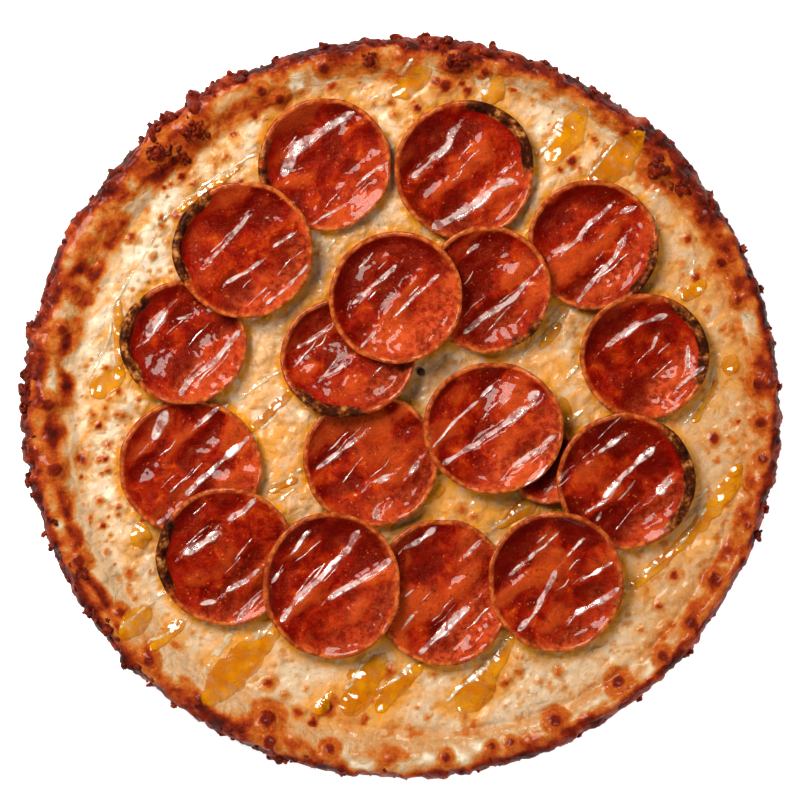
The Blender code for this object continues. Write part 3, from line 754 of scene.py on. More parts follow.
def add_to_map(height_map, obj):
    axis = map_axis()
    corners = np.array([v.co for v in obj.data.vertices])
    low, high = corners.min(axis=0), corners.max(axis=0)
    i = np.flatnonzero((axis > low[0]) & (axis < high[0]))
    j = np.flatnonzero((axis > low[1]) & (axis < high[1]))
    x, y = np.meshgrid(axis[i], axis[j], indexing="ij")
    seen = heights_under(tree_of(obj), x, y)
    part = np.ix_(i, j)
    height_map[part] = np.maximum(height_map[part], seen)


def crease(x, y, line, width):
    """A small fold along a line, whose side towards the upper left catches the light."""
    best = np.full(x.shape, 1.0)
    signed = np.zeros(x.shape)
    for (ax, ay), (bx, by) in zip(line[:-1:3], line[3::3]):
        dx, dy = bx - ax, by - ay
        long = dx * dx + dy * dy + 1e-12
        t = np.clip(((x - ax) * dx + (y - ay) * dy) / long, 0, 1)
        away_x, away_y = x - ax - t * dx, y - ay - t * dy
        apart = np.hypot(away_x, away_y)
        closer = apart < best
        best = np.where(closer, apart, best)
        signed = np.where(closer, np.where(away_y - away_x > 0, apart, -apart), signed)
    d = signed / width
    return -CREASE_SLOPE * width * d * np.exp(-0.5 * d * d)


def slice_folds(x, y, number):
    """Folds of a slice's face between -1 and 1, long from lower left to upper right."""
    across, along = (y - x) / math.sqrt(2), (x + y) / math.sqrt(2)
    bend = 4 * MM * bumps(x, y, 16 * MM, 200 + number)
    long = bumps(across + bend, along / 3, 5.5 * MM, 210 + number)
    return 0.8 * long + 0.45 * layered(x, y, 8 * MM, 290 + number)


def slice_relief(x, y, number, lines):
    """Relief of a slice's face: soft folds, creases under the runs, and pits."""
    relief = 1.2 * MM * slice_folds(x, y, number)
    relief += 0.25 * MM * layered(x, y, 3.5 * MM, 230 + number)
    relief -= 0.14 * MM * domes(x, y, 1.9 * MM, 260 + number, fill=0.5)
    for line, half in lines:
        relief += crease(x, y, line, half.max() * 1.25)
    return relief


def lines_on(number, row, drawn):
    """The runs that lie on a slice, and not on one above it."""
    def covers(one, line):
        middle = line[len(line) // 2] / MM
        return math.hypot((middle[0] - one.x) / one.half_x, (middle[1] - one.y) / one.half_y) < 1
    return [(line, half) for line, half in drawn
            if covers(row, line) and not any(covers(above, line) for above in SLICES[number:])]


def slice_outline(number, row, turn):
    """In each direction round a slice: its radius, how far its edge is curled up and crisped, and the curl's angle."""
    wobble = 1 + 0.014 * bumps(np.cos(turn) * 3, np.sin(turn) * 3, 1, 300 + number)
    limit = np.hypot(row.half_x * np.cos(turn), row.half_y * np.sin(turn)) * MM * wobble
    off = np.abs((np.degrees(turn) - row.side + 180) % 360 - 180)
    side = np.cos(np.pi / 2 * np.minimum(off / row.spread, 1)) ** 2
    uneven = 1 + 0.22 * bumps(np.cos(turn) * 4, np.sin(turn) * 4, 1, 330 + number)
    curled = np.minimum(row.lift, FULL_CURL) / FULL_CURL * side
    return limit, curled, np.radians(CUP_ANGLE + 45 * curled) * uneven


def slice_section(flat, curl, curled):
    """A slice's section from the middle of its face out to the edge, round it and back underneath.

    For each row and direction: how far out and up the point is, its way along the section, and whether the row
    is on the face.
    """
    face_out, under_out = np.linspace(0, 1, SLICE_RINGS) ** 0.75, np.linspace(1, 0, UNDER_RINGS) ** 0.8
    out = np.concatenate([face_out, np.ones(3), under_out])
    face = np.concatenate([np.full(SLICE_RINGS, 1.0), (0.6, 0.0, -0.6), np.full(UNDER_RINGS, -1.0)])
    edge_bulge = np.concatenate([np.zeros(SLICE_RINGS), (0.2, 0.3, 0.2), np.zeros(UNDER_RINGS)])
    whole = flat + CURL_LENGTH
    along = out[:, None] * whole[None, :]
    bent = np.clip(along - flat, 0, None)
    rate = curl / CURL_LENGTH
    radial = np.minimum(along, flat) + np.sin(rate * bent) / rate
    rise = (1 - np.cos(rate * bent)) / rate
    tilt = rate * bent
    crisp = 1 + CRISP * curled * ramp(whole - along, 5 * MM, 1.5 * MM)
    thick = SLICE_THICKNESS / 2 * (1 - 0.2 * ramp(whole - along, 1.2 * MM, 0)) * crisp
    bulge = edge_bulge[:, None] * SLICE_THICKNESS
    radial = radial - face[:, None] * thick * np.sin(tilt) + bulge * np.cos(tilt)
    rise = rise + face[:, None] * thick * np.cos(tilt) + bulge * np.sin(tilt)
    return radial, rise, along, (face > 0)[:, None]


def slice_looks(number, row, x, y, along, whole, curled):
    """What the material reads at each point of a slice: char, painted shade, painted highlights, and folds."""
    from_edge = whole - along
    strength = np.clip(curled * 1.7, 0, 1)
    patchy = 1 + 0.45 * bumps(x, y, 3.5 * MM, 360 + number)
    towards = ((y - row.y * MM) / row.half_y - (x - row.x * MM) / row.half_x) / (math.sqrt(2) * MM)
    towards = towards + 0.3 * layered(x, y, 9 * MM, 380 + number)
    # painted highlight: a pinker sheen towards the lower right of each slice, where the light's reflection falls
    painted_sheen = ramp(-towards, 0.25, 0.7) * ramp(towards, -1.1, -0.85) * (0.65 + 0.35 * math.sin(1.7 * number))
    # painted highlight: a lighter lip along the lower right edge
    lip_highlight = 0.9 * ramp(along / whole, 0.86, 0.95) * ramp(-towards, 0.0, 0.6) * (1 - strength)
    return {
        "char": np.clip(strength * ramp(from_edge, 5.6 * MM, 2 * MM) * patchy, 0, 1),
        "edge": ramp(from_edge, 1.2 * MM, 0.3 * MM),
        # painted shade: a deep red on the inner wall of a curled edge
        "curl_wall_shade": strength * ramp(from_edge, 10 * MM, 5 * MM),
        # painted shade towards the upper left of each slice, away from the light
        "shade": ramp(towards, 0.3, 0.95) * (0.75 + 0.25 * math.cos(2.4 * number)),
        "painted_sheen": np.maximum(painted_sheen, lip_highlight),
        "fold": 0.5 + 0.5 * slice_folds(x, y, number),
    }


def build_slice(number, row, height_map, drawn):
    """One slice, laid over what the height map has under it."""
    turn = full_turn(SLICE_AROUND)
    limit, curled, curl = slice_outline(number, row, turn)
    flat = limit - CURL_LENGTH * np.sin(curl) / curl
    whole = flat + CURL_LENGTH
    radial, rise, along, top = slice_section(flat, curl, curled)
    centre_x, centre_y = row.x * MM, row.y * MM
    x, y = radial * np.cos(turn) + centre_x, radial * np.sin(turn) + centre_y
    axis = map_axis()
    reach = np.hypot((axis[:, None] - centre_x) / (row.half_x * MM), (axis[None, :] - centre_y) / (row.half_y * MM))
    underside = draped(height_map, reach < 1.0) + DRAPE_GAP
    relief = slice_relief(x, y, number, lines_on(number, row, drawn)) * ramp(along / whole, 1.0, 0.8)
    z = read_map(underside, x, y) + SLICE_THICKNESS / 2 + rise + np.where(top, relief, 0.0)
    looks = slice_looks(number, row, x, y, along, whole, curled)
    obj = lattice(f"pepperoni_slice_{number:02d}", np.stack([x, y, z], axis=-1), looks)
    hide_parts(f"pepperoni_{number:02d}")
    return obj


# Honey: drops and runs with a rounded section, laid along a path over whatever is under it.

Run = namedtuple("Run", "path width height")


def runs(height, *rows):
    return [Run(path, width, height) for width, *path in rows]


# Paths in pixels of the photograph, each after its width there. A third number is the share of the width at that
# point. First the pools on the cheese.
POOLS = runs(
    0.55 * MM,
    (20, (124, 368), (104, 385), (90, 395)), (6, (119, 300), (118, 335), (121, 368)),
    (18, (139, 522), (141, 540), (143, 549)), (16, (431, 68), (408, 86), (392, 97)),
    (18, (500, 76), (494, 90), (484, 106)), (25, (586, 104, 0.4), (570, 130, 0.9), (548, 166, 0.6)),
    (24, (644, 132, 0.4), (616, 160, 1), (588, 188, 0.6)), (11, (706, 280), (694, 290), (680, 299)),
    (18, (735, 354), (730, 366), (727, 376)), (6, (718, 378), (708, 396), (692, 424)),
    (15, (742, 462, 0.5), (730, 486, 1), (702, 522, 0.7), (668, 556, 0.5), (630, 590, 0.6)),
    (26, (514, 634, 0.25), (496, 664, 0.4), (476, 690, 0.8), (458, 714, 1)),
    (24, (280, 632, 0.3), (256, 648, 0.8), (228, 676, 1), (204, 704, 0.7)),
    (34, (386, 652, 0.3), (366, 680, 0.8), (346, 716, 1)), (16, (424, 662, 0.3), (398, 684, 1), (376, 712, 0.8)),
    (12, (332, 690, 0.4), (316, 716, 1)), (12, (556, 484, 0.4), (528, 505, 1), (496, 528, 0.5)),
    (7, (299, 478), (284, 485), (268, 491)), (9, (562, 396), (566, 420), (560, 446)),
    (12, (446, 486), (424, 498), (404, 510)), (16, (150, 606), (128, 630), (122, 640)),
    (10, (186, 620), (160, 640), (150, 650)), (8, (560, 322), (548, 336), (540, 350)),
    (6, (300, 384), (262, 420), (240, 440)), (5, (240, 168), (200, 196), (176, 212)),
)
# The thinner runs over the cheese, which catch the light; their pale colour is a painted highlight.
THREADS = runs(
    0.45 * MM,
    (2.5, (258, 153), (217, 175), (184, 202), (163, 218), (145, 255), (122, 290), (112, 306), (110, 339),
     (88, 379)),
    (6, (413, 58), (407, 68), (400, 78)), (8, (489, 77), (486, 88), (484, 97)),
    (4, (563, 112), (560, 126), (553, 139), (538, 156)), (3.5, (617, 140), (603, 157), (589, 176)),
    (3, (659, 187), (651, 203)), (4, (695, 259), (689, 277)), (3, (683, 283), (674, 297)),
    (2.5, (568, 311), (545, 333), (520, 360)), (3, (579, 365), (566, 379)), (3, (450, 352), (431, 370)),
    (3, (337, 237), (324, 253)), (2.5, (281, 371), (260, 383), (237, 400)), (3, (278, 414), (259, 430)),
    (3.5, (304, 468), (288, 476), (269, 488)), (3, (298, 487), (276, 502)),
    (3.5, (168, 589), (148, 604), (121, 628)),
    (3.5, (189, 616), (166, 634), (146, 643)), (5, (232, 632), (217, 653), (203, 674)),
    (5, (274, 622), (262, 634), (243, 640)), (4, (370, 652), (357, 673), (344, 692)),
    (4, (412, 664), (398, 677), (374, 692)), (3, (482, 494), (469, 507)), (3, (584, 408), (566, 425)),
    (3.5, (556, 483), (543, 497), (517, 511), (491, 530)), (2.5, (715, 365), (704, 400), (682, 426)),
    (2.5, (710, 487), (695, 499)), (3, (707, 506), (688, 535), (665, 558), (634, 580)),
    (5, (510, 637), (485, 667), (461, 686), (445, 702)), (3, (441, 205), (432, 222)), (2.5, (398, 84), (367, 102)),
    (2.5, (248, 424), (232, 441)), (3, (536, 318), (522, 333)), (2.5, (262, 305), (250, 320)),
)
# The runs over the slices, real honey whose pale colour is a painted highlight.
STREAKS = runs(
    0.5 * MM,
    (7, (356, 113), (329, 126), (306, 143), (291, 158), (283, 179)), (3, (390, 162), (375, 171), (361, 182)),
    (2.5, (344, 207), (326, 216), (311, 225)), (3.5, (250, 214), (232, 237), (209, 264)), (3, (297, 233), (273, 248)),
    (3, (265, 259), (244, 274), (225, 284)), (2.5, (310, 265), (290, 285), (265, 306)),
    (7, (166, 309), (158, 322), (147, 337)), (2.5, (191, 316), (176, 319)),
    (4.5, (242, 329), (219, 357), (190, 380), (180, 397)), (3, (329, 327), (312, 340), (296, 349)),
    (3, (349, 360), (336, 371), (321, 378)), (3, (398, 265), (376, 284), (352, 306)), (3.5, (378, 329), (360, 349)),
    (2.5, (440, 274), (415, 296), (395, 318)), (5, (455, 126), (448, 146), (436, 157), (411, 179)),
    (7, (516, 181), (497, 184), (482, 201), (456, 217), (428, 230)), (4, (509, 166), (500, 174)),
    (3.5, (613, 204), (589, 224), (576, 242), (552, 254)), (5, (636, 207), (619, 213)),
    (4, (623, 237), (614, 260), (597, 275), (576, 304)), (3.5, (479, 244), (466, 255)),
    (4, (530, 278), (510, 301), (484, 317), (462, 334)), (2.5, (544, 262), (532, 277)),
    (4, (667, 314), (637, 325), (604, 348)), (4, (656, 336), (651, 350)), (4.5, (688, 344), (686, 372)),
    (3, (704, 365), (675, 390)), (9, (167, 409), (160, 425), (153, 441)), (3, (222, 405), (196, 427)),
    (4.5, (250, 436), (219, 464), (194, 487), (176, 508), (151, 529)), (4, (258, 498), (245, 510), (226, 520)),
    (6, (221, 530), (204, 543), (182, 555)), (3, (261, 567), (245, 581), (224, 591)),
    (3.5, (261, 593), (247, 608), (235, 624)), (3, (217, 600), (200, 604)), (3, (311, 528), (293, 553)),
    (4.5, (360, 528), (347, 550), (314, 584), (293, 604), (281, 622)),
    (4, (393, 556), (375, 571), (350, 586), (327, 599)), (3, (281, 571), (272, 583)),
    (3, (365, 433), (344, 448), (316, 469)), (4, (393, 474), (372, 482)), (4.5, (381, 507), (373, 520)),
    (4, (420, 459), (408, 477)), (3, (556, 483), (543, 496)), (2.5, (479, 400), (461, 415), (431, 448)),
    (5, (536, 400), (502, 426), (477, 443), (441, 465)), (4, (556, 434), (535, 451), (512, 469)),
    (7, (540, 391), (526, 402)), (2.5, (494, 385), (479, 398)), (4, (627, 431), (614, 441), (596, 454)),
    (5, (655, 446), (637, 461), (619, 479), (602, 498)), (7, (672, 477), (664, 487), (654, 494)),
    (3, (608, 499), (584, 512)), (3, (602, 510), (591, 528)), (3, (559, 531), (543, 545), (512, 571)),
    (3, (582, 538), (566, 556)), (4, (556, 568), (543, 596), (533, 614), (517, 630)), (3, (612, 561), (579, 581)),
    (4.5, (619, 586), (599, 602), (573, 614)), (4, (438, 525), (420, 540), (403, 549)), (3, (482, 539), (464, 556)),
    (5, (470, 605), (451, 624), (431, 642), (418, 655)), (3, (415, 612), (401, 630)),
)
RUN_WIDEN = 1.5                 # a run's faint edges lie outside the bright width seen in the photo
RUN_STEP = 0.42 * MM
RUN_ACROSS, THIN_ACROSS = 11, 7  # points across a run, and across one narrower than THIN_RUN each way
THIN_RUN = 1.05 * MM
RUN_DROP = 1.2 * MM             # a run breaks off where the height changes by more than this from point to point
CHEESE_DROP = 3 * MM            # the same on the cheese, which has lumps but no raised edges
RUN_PEAK = 0.72                 # share of the way across, from the upper left, at which a run is thickest
RUN_SUNK = 0.08 * MM            # its thin edges lie this deep in what is under it
RUN_DEPTH = 0.25 * MM           # and its underside this deep
FINE_STREAKS = 5                # short thin runs on each slice


def run_points(path, width, draw):
    """A smooth centre line through the path's points, and the half width along it, which swells and thins."""
    knots = np.array([from_photo(*point[:2]) for point in path])
    shares = [point[2] if len(point) > 2 else 1.0 for point in path]
    steps = np.hypot(*np.diff(knots, axis=0).T)
    along = np.concatenate([[0], np.cumsum(steps)])
    count = max(int(along[-1] / RUN_STEP), 8)
    fine = np.linspace(0, along[-1], count)
    line = np.stack([np.interp(fine, along, knots[:, 0]), np.interp(fine, along, knots[:, 1])], axis=1)
    for _ in range(count // 3):
        line[1:-1] = softened(line)
    sway = np.stack([bumps(fine, 0 * fine, 4 * MM, draw.integers(1000)) for _ in range(2)], axis=1)
    line = line + 0.3 * MM * sway
    uneven = 0.45 if width < 9 else 0.25
    half = RUN_WIDEN * width * PIXEL / 2 * (1 + uneven * bumps(fine, 0 * fine, 3.5 * MM, draw.integers(1000)))
    half = half * np.interp(fine, along, shares)
    near_end = np.minimum(fine, fine[-1] - fine) / np.maximum(half * 2.2, 0.1 * MM)
    return line, half * np.sqrt(np.clip(1 - (1 - np.minimum(near_end, 1)) ** 2, 0.02, 1))


def draw_runs(group, seed):
    draw = np.random.default_rng(seed)
    return [run_points(run.path, run.width, draw) for run in group]


def fine_streaks():
    """Short thin runs over every slice, all in the direction in which the honey was drizzled."""
    draw = np.random.default_rng(15)
    found = []
    for row in SLICES:
        middle = np.array((PHOTO_CENTRE[0] + row.x * MM / PIXEL, PHOTO_CENTRE[1] - row.y * MM / PIXEL))
        for _ in range(FINE_STREAKS):
            turn = math.radians(draw.uniform(40, 52))
            way = np.array((-math.cos(turn), math.sin(turn)))
            away = draw.uniform(-0.75, 0.75) * row.half_x * MM / PIXEL
            along = draw.uniform(-0.4, 0.4) * row.half_x * MM / PIXEL
            half = draw.uniform(7, 20)
            start = middle + away * way[::-1] * (1, -1) + (along - half) * way
            bend = start + half * way + draw.uniform(-2, 2, 2)
            path = (tuple(start), tuple(bend), tuple(start + 2 * half * way))
            found.append(Run(path, draw.uniform(0.7, 1.4), 0.3 * MM))
    return found


def run_plan(line, half, tree):
    """The strip's points in plan, from its upper left side to its lower right, and the height under each."""
    heading = np.gradient(line, axis=0)
    heading /= np.linalg.norm(heading, axis=1)[:, None]
    side = np.stack([-heading[:, 1], heading[:, 0]], axis=1)
    side *= np.where(side[:, :1] - side[:, 1:] > 0, 1.0, -1.0)
    count = THIN_ACROSS if half.max() < THIN_RUN else RUN_ACROSS
    across = np.sin(np.linspace(-math.pi / 2, math.pi / 2, count))
    plan = line[:, None] + side[:, None] * half[:, None, None] * across[None, :, None]
    return across, plan, heights_under(tree, plan[..., 0], plan[..., 1], missing=CHEESE_TOP)


def add_run(points, faces, core, run, line, half, tree, drop):
    """One run, which stops where what is under it drops away, and goes on where it is level again."""
    base = run_plan(line, half, tree)[2]
    torn = np.abs(np.diff(base, axis=1)).max(axis=1) > drop
    step = np.abs(np.diff(base, axis=0)).max(axis=1) > drop
    torn[:-1] |= step
    torn[1:] |= step
    for part in np.split(np.arange(len(line)), np.flatnonzero(np.diff(torn)) + 1):
        if len(part) > 7 and not torn[part[0]]:
            from_end = np.minimum(np.arange(len(part)), np.arange(len(part))[::-1]) / 5
            taper = np.sqrt(np.clip(1 - (1 - np.minimum(from_end, 1)) ** 2, 0.03, 1))
            add_strip(points, faces, core, run, line[part], half[part] * taper, tree)


def add_strip(points, faces, core, run, line, half, tree):
    """A strip that is thickest towards the lower right, closed at its edges and ends."""
    across, plan, base = run_plan(line, half, tree)
    for _ in range(2):
        base[1:-1] = np.maximum(softened(base), base[1:-1])
    way = (across + 1) / 2
    profile = np.where(way < RUN_PEAK, (way / RUN_PEAK) ** 0.85,
                       np.sqrt(np.clip(1 - ((way - RUN_PEAK) / (1 - RUN_PEAK)) ** 2, 0, 1)))
    thick = np.minimum(run.height, 0.6 * half)
    top = base - RUN_SUNK + (thick[:, None] + RUN_SUNK) * profile[None, :]
    low = np.dstack([plan, base - RUN_DEPTH])[:, ::-2]
    loop = np.concatenate([np.dstack([plan, top]), low], axis=1)
    index, _, quads = loops_of(*loop.shape[:2], first=sum(len(block) for block in points))
    points.append(loop.reshape(-1, 3))
    fade = np.minimum(half / half.max() * 1.6, 1)
    inside = (1 - np.abs(across) ** 2.5) * fade[:, None]
    core.append(np.concatenate([inside, 0 * low[..., 0]], axis=1).ravel())
    faces.extend(quads.reshape(-1, 4).tolist())
    faces.append(index[0].tolist())
    faces.append(index[-1][::-1].tolist())


def build_runs(name, group, drawn, tree, drop=RUN_DROP):
    points, faces, core = [], [], []
    for run, (line, half) in zip(group, drawn):
        add_run(points, faces, core, run, line, half, tree, drop)
    obj = new_object(name, np.concatenate(points), faces, {"core": np.concatenate(core)})
    with edited(obj.data) as bm:
        bmesh.ops.recalc_face_normals(bm, faces=bm.faces)
    return obj


PEPPERCORN = (421, 372)         # pixel


def build_peppercorn(tree):
    x, y = from_photo(*PEPPERCORN)
    height = height_at(tree, x, y)
    bm = bmesh.new()
    bmesh.ops.create_icosphere(bm, subdivisions=4, radius=1.6 * MM)
    for vert in bm.verts:
        ridge = float(domes(np.array(vert.co.x * 900), np.array((vert.co.y + vert.co.z) * 900), 0.8, 5))
        vert.co *= 0.86 + 0.2 * ridge
        vert.co += Vector((x, y, height + 0.7 * MM))
    return finish_bmesh("peppercorn", bm)


# Materials.

FOOD_TONE = 0.82                # the table is lit to pure white, and the food has this share of its own colours
TABLE_LIGHT = 0.6               # the table is a light box, as for a picture on pure white
TENT_LIGHT = 0.5
OVERHEAD_LIGHT = 0.1


def linear(red, green, blue, tone=FOOD_TONE):
    """A colour given as 0 to 255 on screen, as the light it stands for."""
    values = [c / 255 for c in (red, green, blue)]
    return tuple(tone * (c / 12.92 if c <= 0.04045 else ((c + 0.055) / 1.055) ** 2.4) for c in values)


class Shader:
    """A node material under way: its Principled shader, and short ways to add and join nodes."""

    def __init__(self, name, **settings):
        self.material = bpy.data.materials.new(name)
        self.material.use_nodes = True
        self.tree = self.material.node_tree
        self.main = self.tree.nodes["Principled BSDF"]
        for key, value in settings.items():
            self.main.inputs[key.replace("_", " ")].default_value = value
        self.place = self.node("ShaderNodeTexCoord").outputs["Object"]

    def node(self, kind, inputs=(), **properties):
        """A new node with its properties set, and its inputs set or joined to other nodes' outputs."""
        made = self.tree.nodes.new(kind)
        for key, value in properties.items():
            setattr(made, key, value)
        for key, value in dict(inputs).items():
            self.feed(made.inputs[key], value)
        return made

    def feed(self, socket, value):
        if isinstance(value, bpy.types.NodeSocket):
            self.tree.links.new(value, socket)
        else:
            socket.default_value = value

    def attribute(self, name):
        return self.node("ShaderNodeAttribute", attribute_name=name).outputs["Fac"]

    def noise(self, size, detail=3.0, roughness=0.5, distortion=0.0):
        inputs = {"Vector": self.place, "Scale": 1 / size, "Detail": detail, "Roughness": roughness,
                  "Distortion": distortion}
        return self.node("ShaderNodeTexNoise", inputs).outputs["Fac"]

    def cells(self, size, feature="F1"):
        """Distances in a pattern of cells whose walls are bent by noise."""
        warp = self.times(self.noise(size * 1.5), size * 1.5)
        moved = self.node("ShaderNodeVectorMath", {0: self.place, 1: warp}, operation="ADD").outputs[0]
        inputs = {"Vector": moved, "Scale": 1 / size}
        return self.node("ShaderNodeTexVoronoi", inputs, feature=feature).outputs["Distance"]

    def math(self, operation, a, b, clamp=False):
        return self.node("ShaderNodeMath", {0: a, 1: b}, operation=operation, use_clamp=clamp).outputs[0]

    def times(self, a, b):
        return self.math("MULTIPLY", a, b)

    def plus(self, a, b, clamp=False):
        return self.math("ADD", a, b, clamp)

    def swing(self, value, width):
        """Noise made even about 0, and this wide."""
        return self.times(self.math("SUBTRACT", value, 0.5), width)

    def spread(self, value, low, high, to_low=0.0, to_high=1.0):
        """The value taken from one range to another, with a smooth start and end."""
        inputs = {"Value": value, "From Min": low, "From Max": high, "To Min": to_low, "To Max": to_high}
        return self.node("ShaderNodeMapRange", inputs, interpolation_type="SMOOTHSTEP").outputs["Result"]

    def mix(self, share, a, b):
        """Colour a, with this share of colour b."""
        a, b = ((*colour, 1.0) if isinstance(colour, tuple) else colour for colour in (a, b))
        return self.node("ShaderNodeMix", {0: share, 6: a, 7: b}, data_type="RGBA").outputs[2]

    def colours(self, value, *stops):
        """Colours along a value, each stop a position and a colour from 0 to 255."""
        made = self.node("ShaderNodeValToRGB", {"Fac": value})
        ramp_of = made.color_ramp
        while len(ramp_of.elements) < len(stops):
            ramp_of.elements.new(0.5)
        for element, (position, colour) in zip(ramp_of.elements, stops):
            element.position = position
            element.color = (*linear(*colour), 1.0)
        return made.outputs["Color"]

    def bump(self, height, distance):
        made = self.node("ShaderNodeBump", {"Height": height, "Distance": distance, "Strength": 1.0})
        self.set("Normal", made.outputs["Normal"])

    def set(self, name, value):
        self.feed(self.main.inputs[name], value)


def baked_material(name, golden=False):
    """Cheese and crust alike: pale cream through gold and red-brown to black, as it is browned."""
    s = Shader(name, IOR=1.45, Coat_Roughness=0.12, Coat_IOR=1.45, Specular_IOR_Level=0.2,
               Specular_Tint=(1, 0.7, 0.45, 1))
    brown = s.attribute("brown")
    mottle, speck = s.swing(s.noise(2.6 * MM, 4, 0.6), 0.34), s.swing(s.noise(0.9 * MM, 3, 0.6), 0.22)
    lively = s.spread(brown, 0.1, 0.4, 0.22, 1.0)
    varied = s.plus(brown, s.times(s.plus(mottle, speck), lively), clamp=True)
    colour = s.colours(varied, (0.0, (252, 236, 212)), (0.07, (246, 220, 186)), (0.15, (218, 188, 152)),
                       (0.25, (204, 146, 88)), (0.38, (198, 104, 30)), (0.5, (176, 66, 12)), (0.63, (134, 30, 4)),
                       (0.78, (84, 10, 3)), (1.0, (28, 5, 3)))
    if golden:
        pale = s.spread(brown, 0.16, 0.4, 1.0, 0.0)
        gold = s.times(s.attribute("gold"), pale)
        gold = s.times(gold, s.spread(s.noise(5 * MM, 4, 0.6), 0.32, 0.52, 0.35, 1.0))
        colour = s.mix(gold, colour, linear(232, 148, 12))
        veins = s.spread(s.cells(6 * MM, "DISTANCE_TO_EDGE"), 0.0, 0.26, 0.6, 0.0)
        veins = s.times(veins, s.spread(s.noise(14 * MM, 2), 0.42, 0.62))
        colour = s.mix(s.times(veins, pale), colour, linear(216, 150, 66))
        flecks = s.spread(s.noise(1.5 * MM, 2, 0.5), 0.66, 0.72, 0.0, 0.6)
        colour = s.mix(s.times(flecks, pale), colour, linear(196, 122, 48))
    s.set("Base Color", colour)
    s.set("Roughness", s.spread(varied, 0.1, 0.8, 0.4, 0.6))
    s.set("Coat Weight", s.spread(varied, 0.45, 0.8, 0.3 if golden else 0.22, 0.1))
    blobs = s.spread(s.cells(5 * MM, "DISTANCE_TO_EDGE"), 0.0, 0.35, 0.0, 1.2)
    depth = 0.25 * MM if golden else 0.4 * MM
    s.bump(s.plus(s.plus(s.noise(1.1 * MM, 4, 0.6), s.noise(0.4 * MM, 2, 0.5)), blobs), depth)
    return s


def cheese_material():
    s = baked_material("melted_cheese", golden=True)
    s.set("Subsurface Radius", (2 * MM, 1.3 * MM, 0.7 * MM))
    s.set("Subsurface Scale", 1.0)
    s.set("Subsurface Weight", 0.15)
    return s.material


def pepperoni_material():
    s = Shader("pepperoni_meat", IOR=1.45, Coat_Roughness=0.06, Coat_IOR=1.45, Specular_IOR_Level=0.4,
               Specular_Tint=(1, 0.25, 0.12, 1))
    meat = s.colours(s.noise(6 * MM, 6, 0.62, 0.6), (0.32, (104, 4, 1)), (0.45, (136, 12, 2)),
                     (0.55, (162, 30, 2)), (0.65, (188, 58, 6)), (0.76, (220, 108, 30)))
    # painted shade in the troughs of the folds, and painted light on their crests
    meat = s.mix(s.spread(s.attribute("fold"), 0.5, 0.3, 0.0, 0.85), meat, linear(100, 5, 1))
    meat = s.mix(s.spread(s.attribute("fold"), 0.56, 0.8, 0.0, 0.6), meat, linear(204, 78, 24))
    fat = s.spread(s.cells(1.7 * MM), 0.1, 0.3, 0.8, 0.0)
    some = s.spread(s.noise(3.6 * MM, 2), 0.53, 0.63)
    meat = s.mix(s.times(fat, some), meat, linear(218, 110, 50))
    dark = s.spread(s.noise(2.4 * MM, 4, 0.65, 0.4), 0.56, 0.68, 0.0, 0.6)
    meat = s.mix(dark, meat, linear(70, 7, 4))
    # painted shade towards the upper left of each slice
    meat = s.mix(s.times(s.attribute("shade"), 0.8), meat, linear(80, 3, 1))
    # painted highlight: the pinker sheen, broken up by noise
    sheen_speckle = s.spread(s.noise(2.2 * MM, 4, 0.6), 0.4, 0.62, 0.15, 0.75)
    meat = s.mix(s.times(s.attribute("painted_sheen"), sheen_speckle), meat, linear(228, 90, 42))
    # painted shade: deep red on the inner walls of curled edges
    curl_wall_shading = s.times(s.attribute("curl_wall_shade"), s.spread(s.noise(4 * MM, 3), 0.35, 0.6, 0.2, 0.9))
    meat = s.mix(curl_wall_shading, meat, linear(150, 12, 3))
    skin = s.mix(s.spread(s.noise(2.5 * MM, 3), 0.35, 0.6), linear(214, 110, 46), linear(156, 56, 18))
    meat = s.mix(s.times(s.attribute("edge"), 0.9), meat, skin)
    char = s.plus(s.attribute("char"), s.swing(s.noise(1.6 * MM, 3), 0.6))
    crisp = s.plus(s.noise(5 * MM, 3, 0.6), s.times(s.noise(1.2 * MM, 3), 0.35))
    burnt = s.colours(crisp, (0.54, (24, 8, 4)), (0.67, (70, 26, 9)), (0.76, (130, 66, 24)),
                      (0.86, (196, 132, 68)))
    meat = s.mix(s.spread(char, 0.35, 0.65), meat, burnt)
    s.set("Base Color", meat)
    crisped = s.spread(char, 0.3, 0.6)
    s.set("Coat Weight", s.spread(crisped, 0.0, 1.0, 0.3, 0.05))
    rough = s.spread(s.noise(3 * MM, 3), 0.35, 0.65, 0.2, 0.34)
    s.set("Roughness", s.math("MAXIMUM", rough, s.times(crisped, 0.75)))
    s.bump(s.plus(s.noise(1.5 * MM, 4, 0.65), s.noise(0.6 * MM, 3, 0.5)), 0.42 * MM)
    return s.material


def honey_material(name, colour, alpha, thin=0.0):
    """Clear honey. Alpha is how much it hides where it is thickest, and thin is that at its edges. A pale colour given
    to it is a painted highlight.
    """
    s = Shader(name, IOR=1.5, Coat_Weight=1.0, Coat_Roughness=0.06, Coat_IOR=1.55, Roughness=0.1)
    darker = (colour[0] * 0.88, colour[1] * 0.74, colour[2] * 0.6) if thin else [c * 0.9 for c in colour]
    s.set("Base Color", s.mix(s.spread(s.noise(9 * MM, 2), 0.35, 0.65), linear(*colour), linear(*darker)))
    hides = s.spread(s.attribute("core"), 0.0, 0.8, thin, 1.0)
    least = 0.75 if thin else 0.25
    s.set("Alpha", s.times(hides, s.spread(s.noise(3 * MM, 4), 0.38, 0.6, alpha * least, alpha * 1.3)))
    s.bump(s.noise(1.6 * MM, 2), 0.05 * MM)
    return s.material


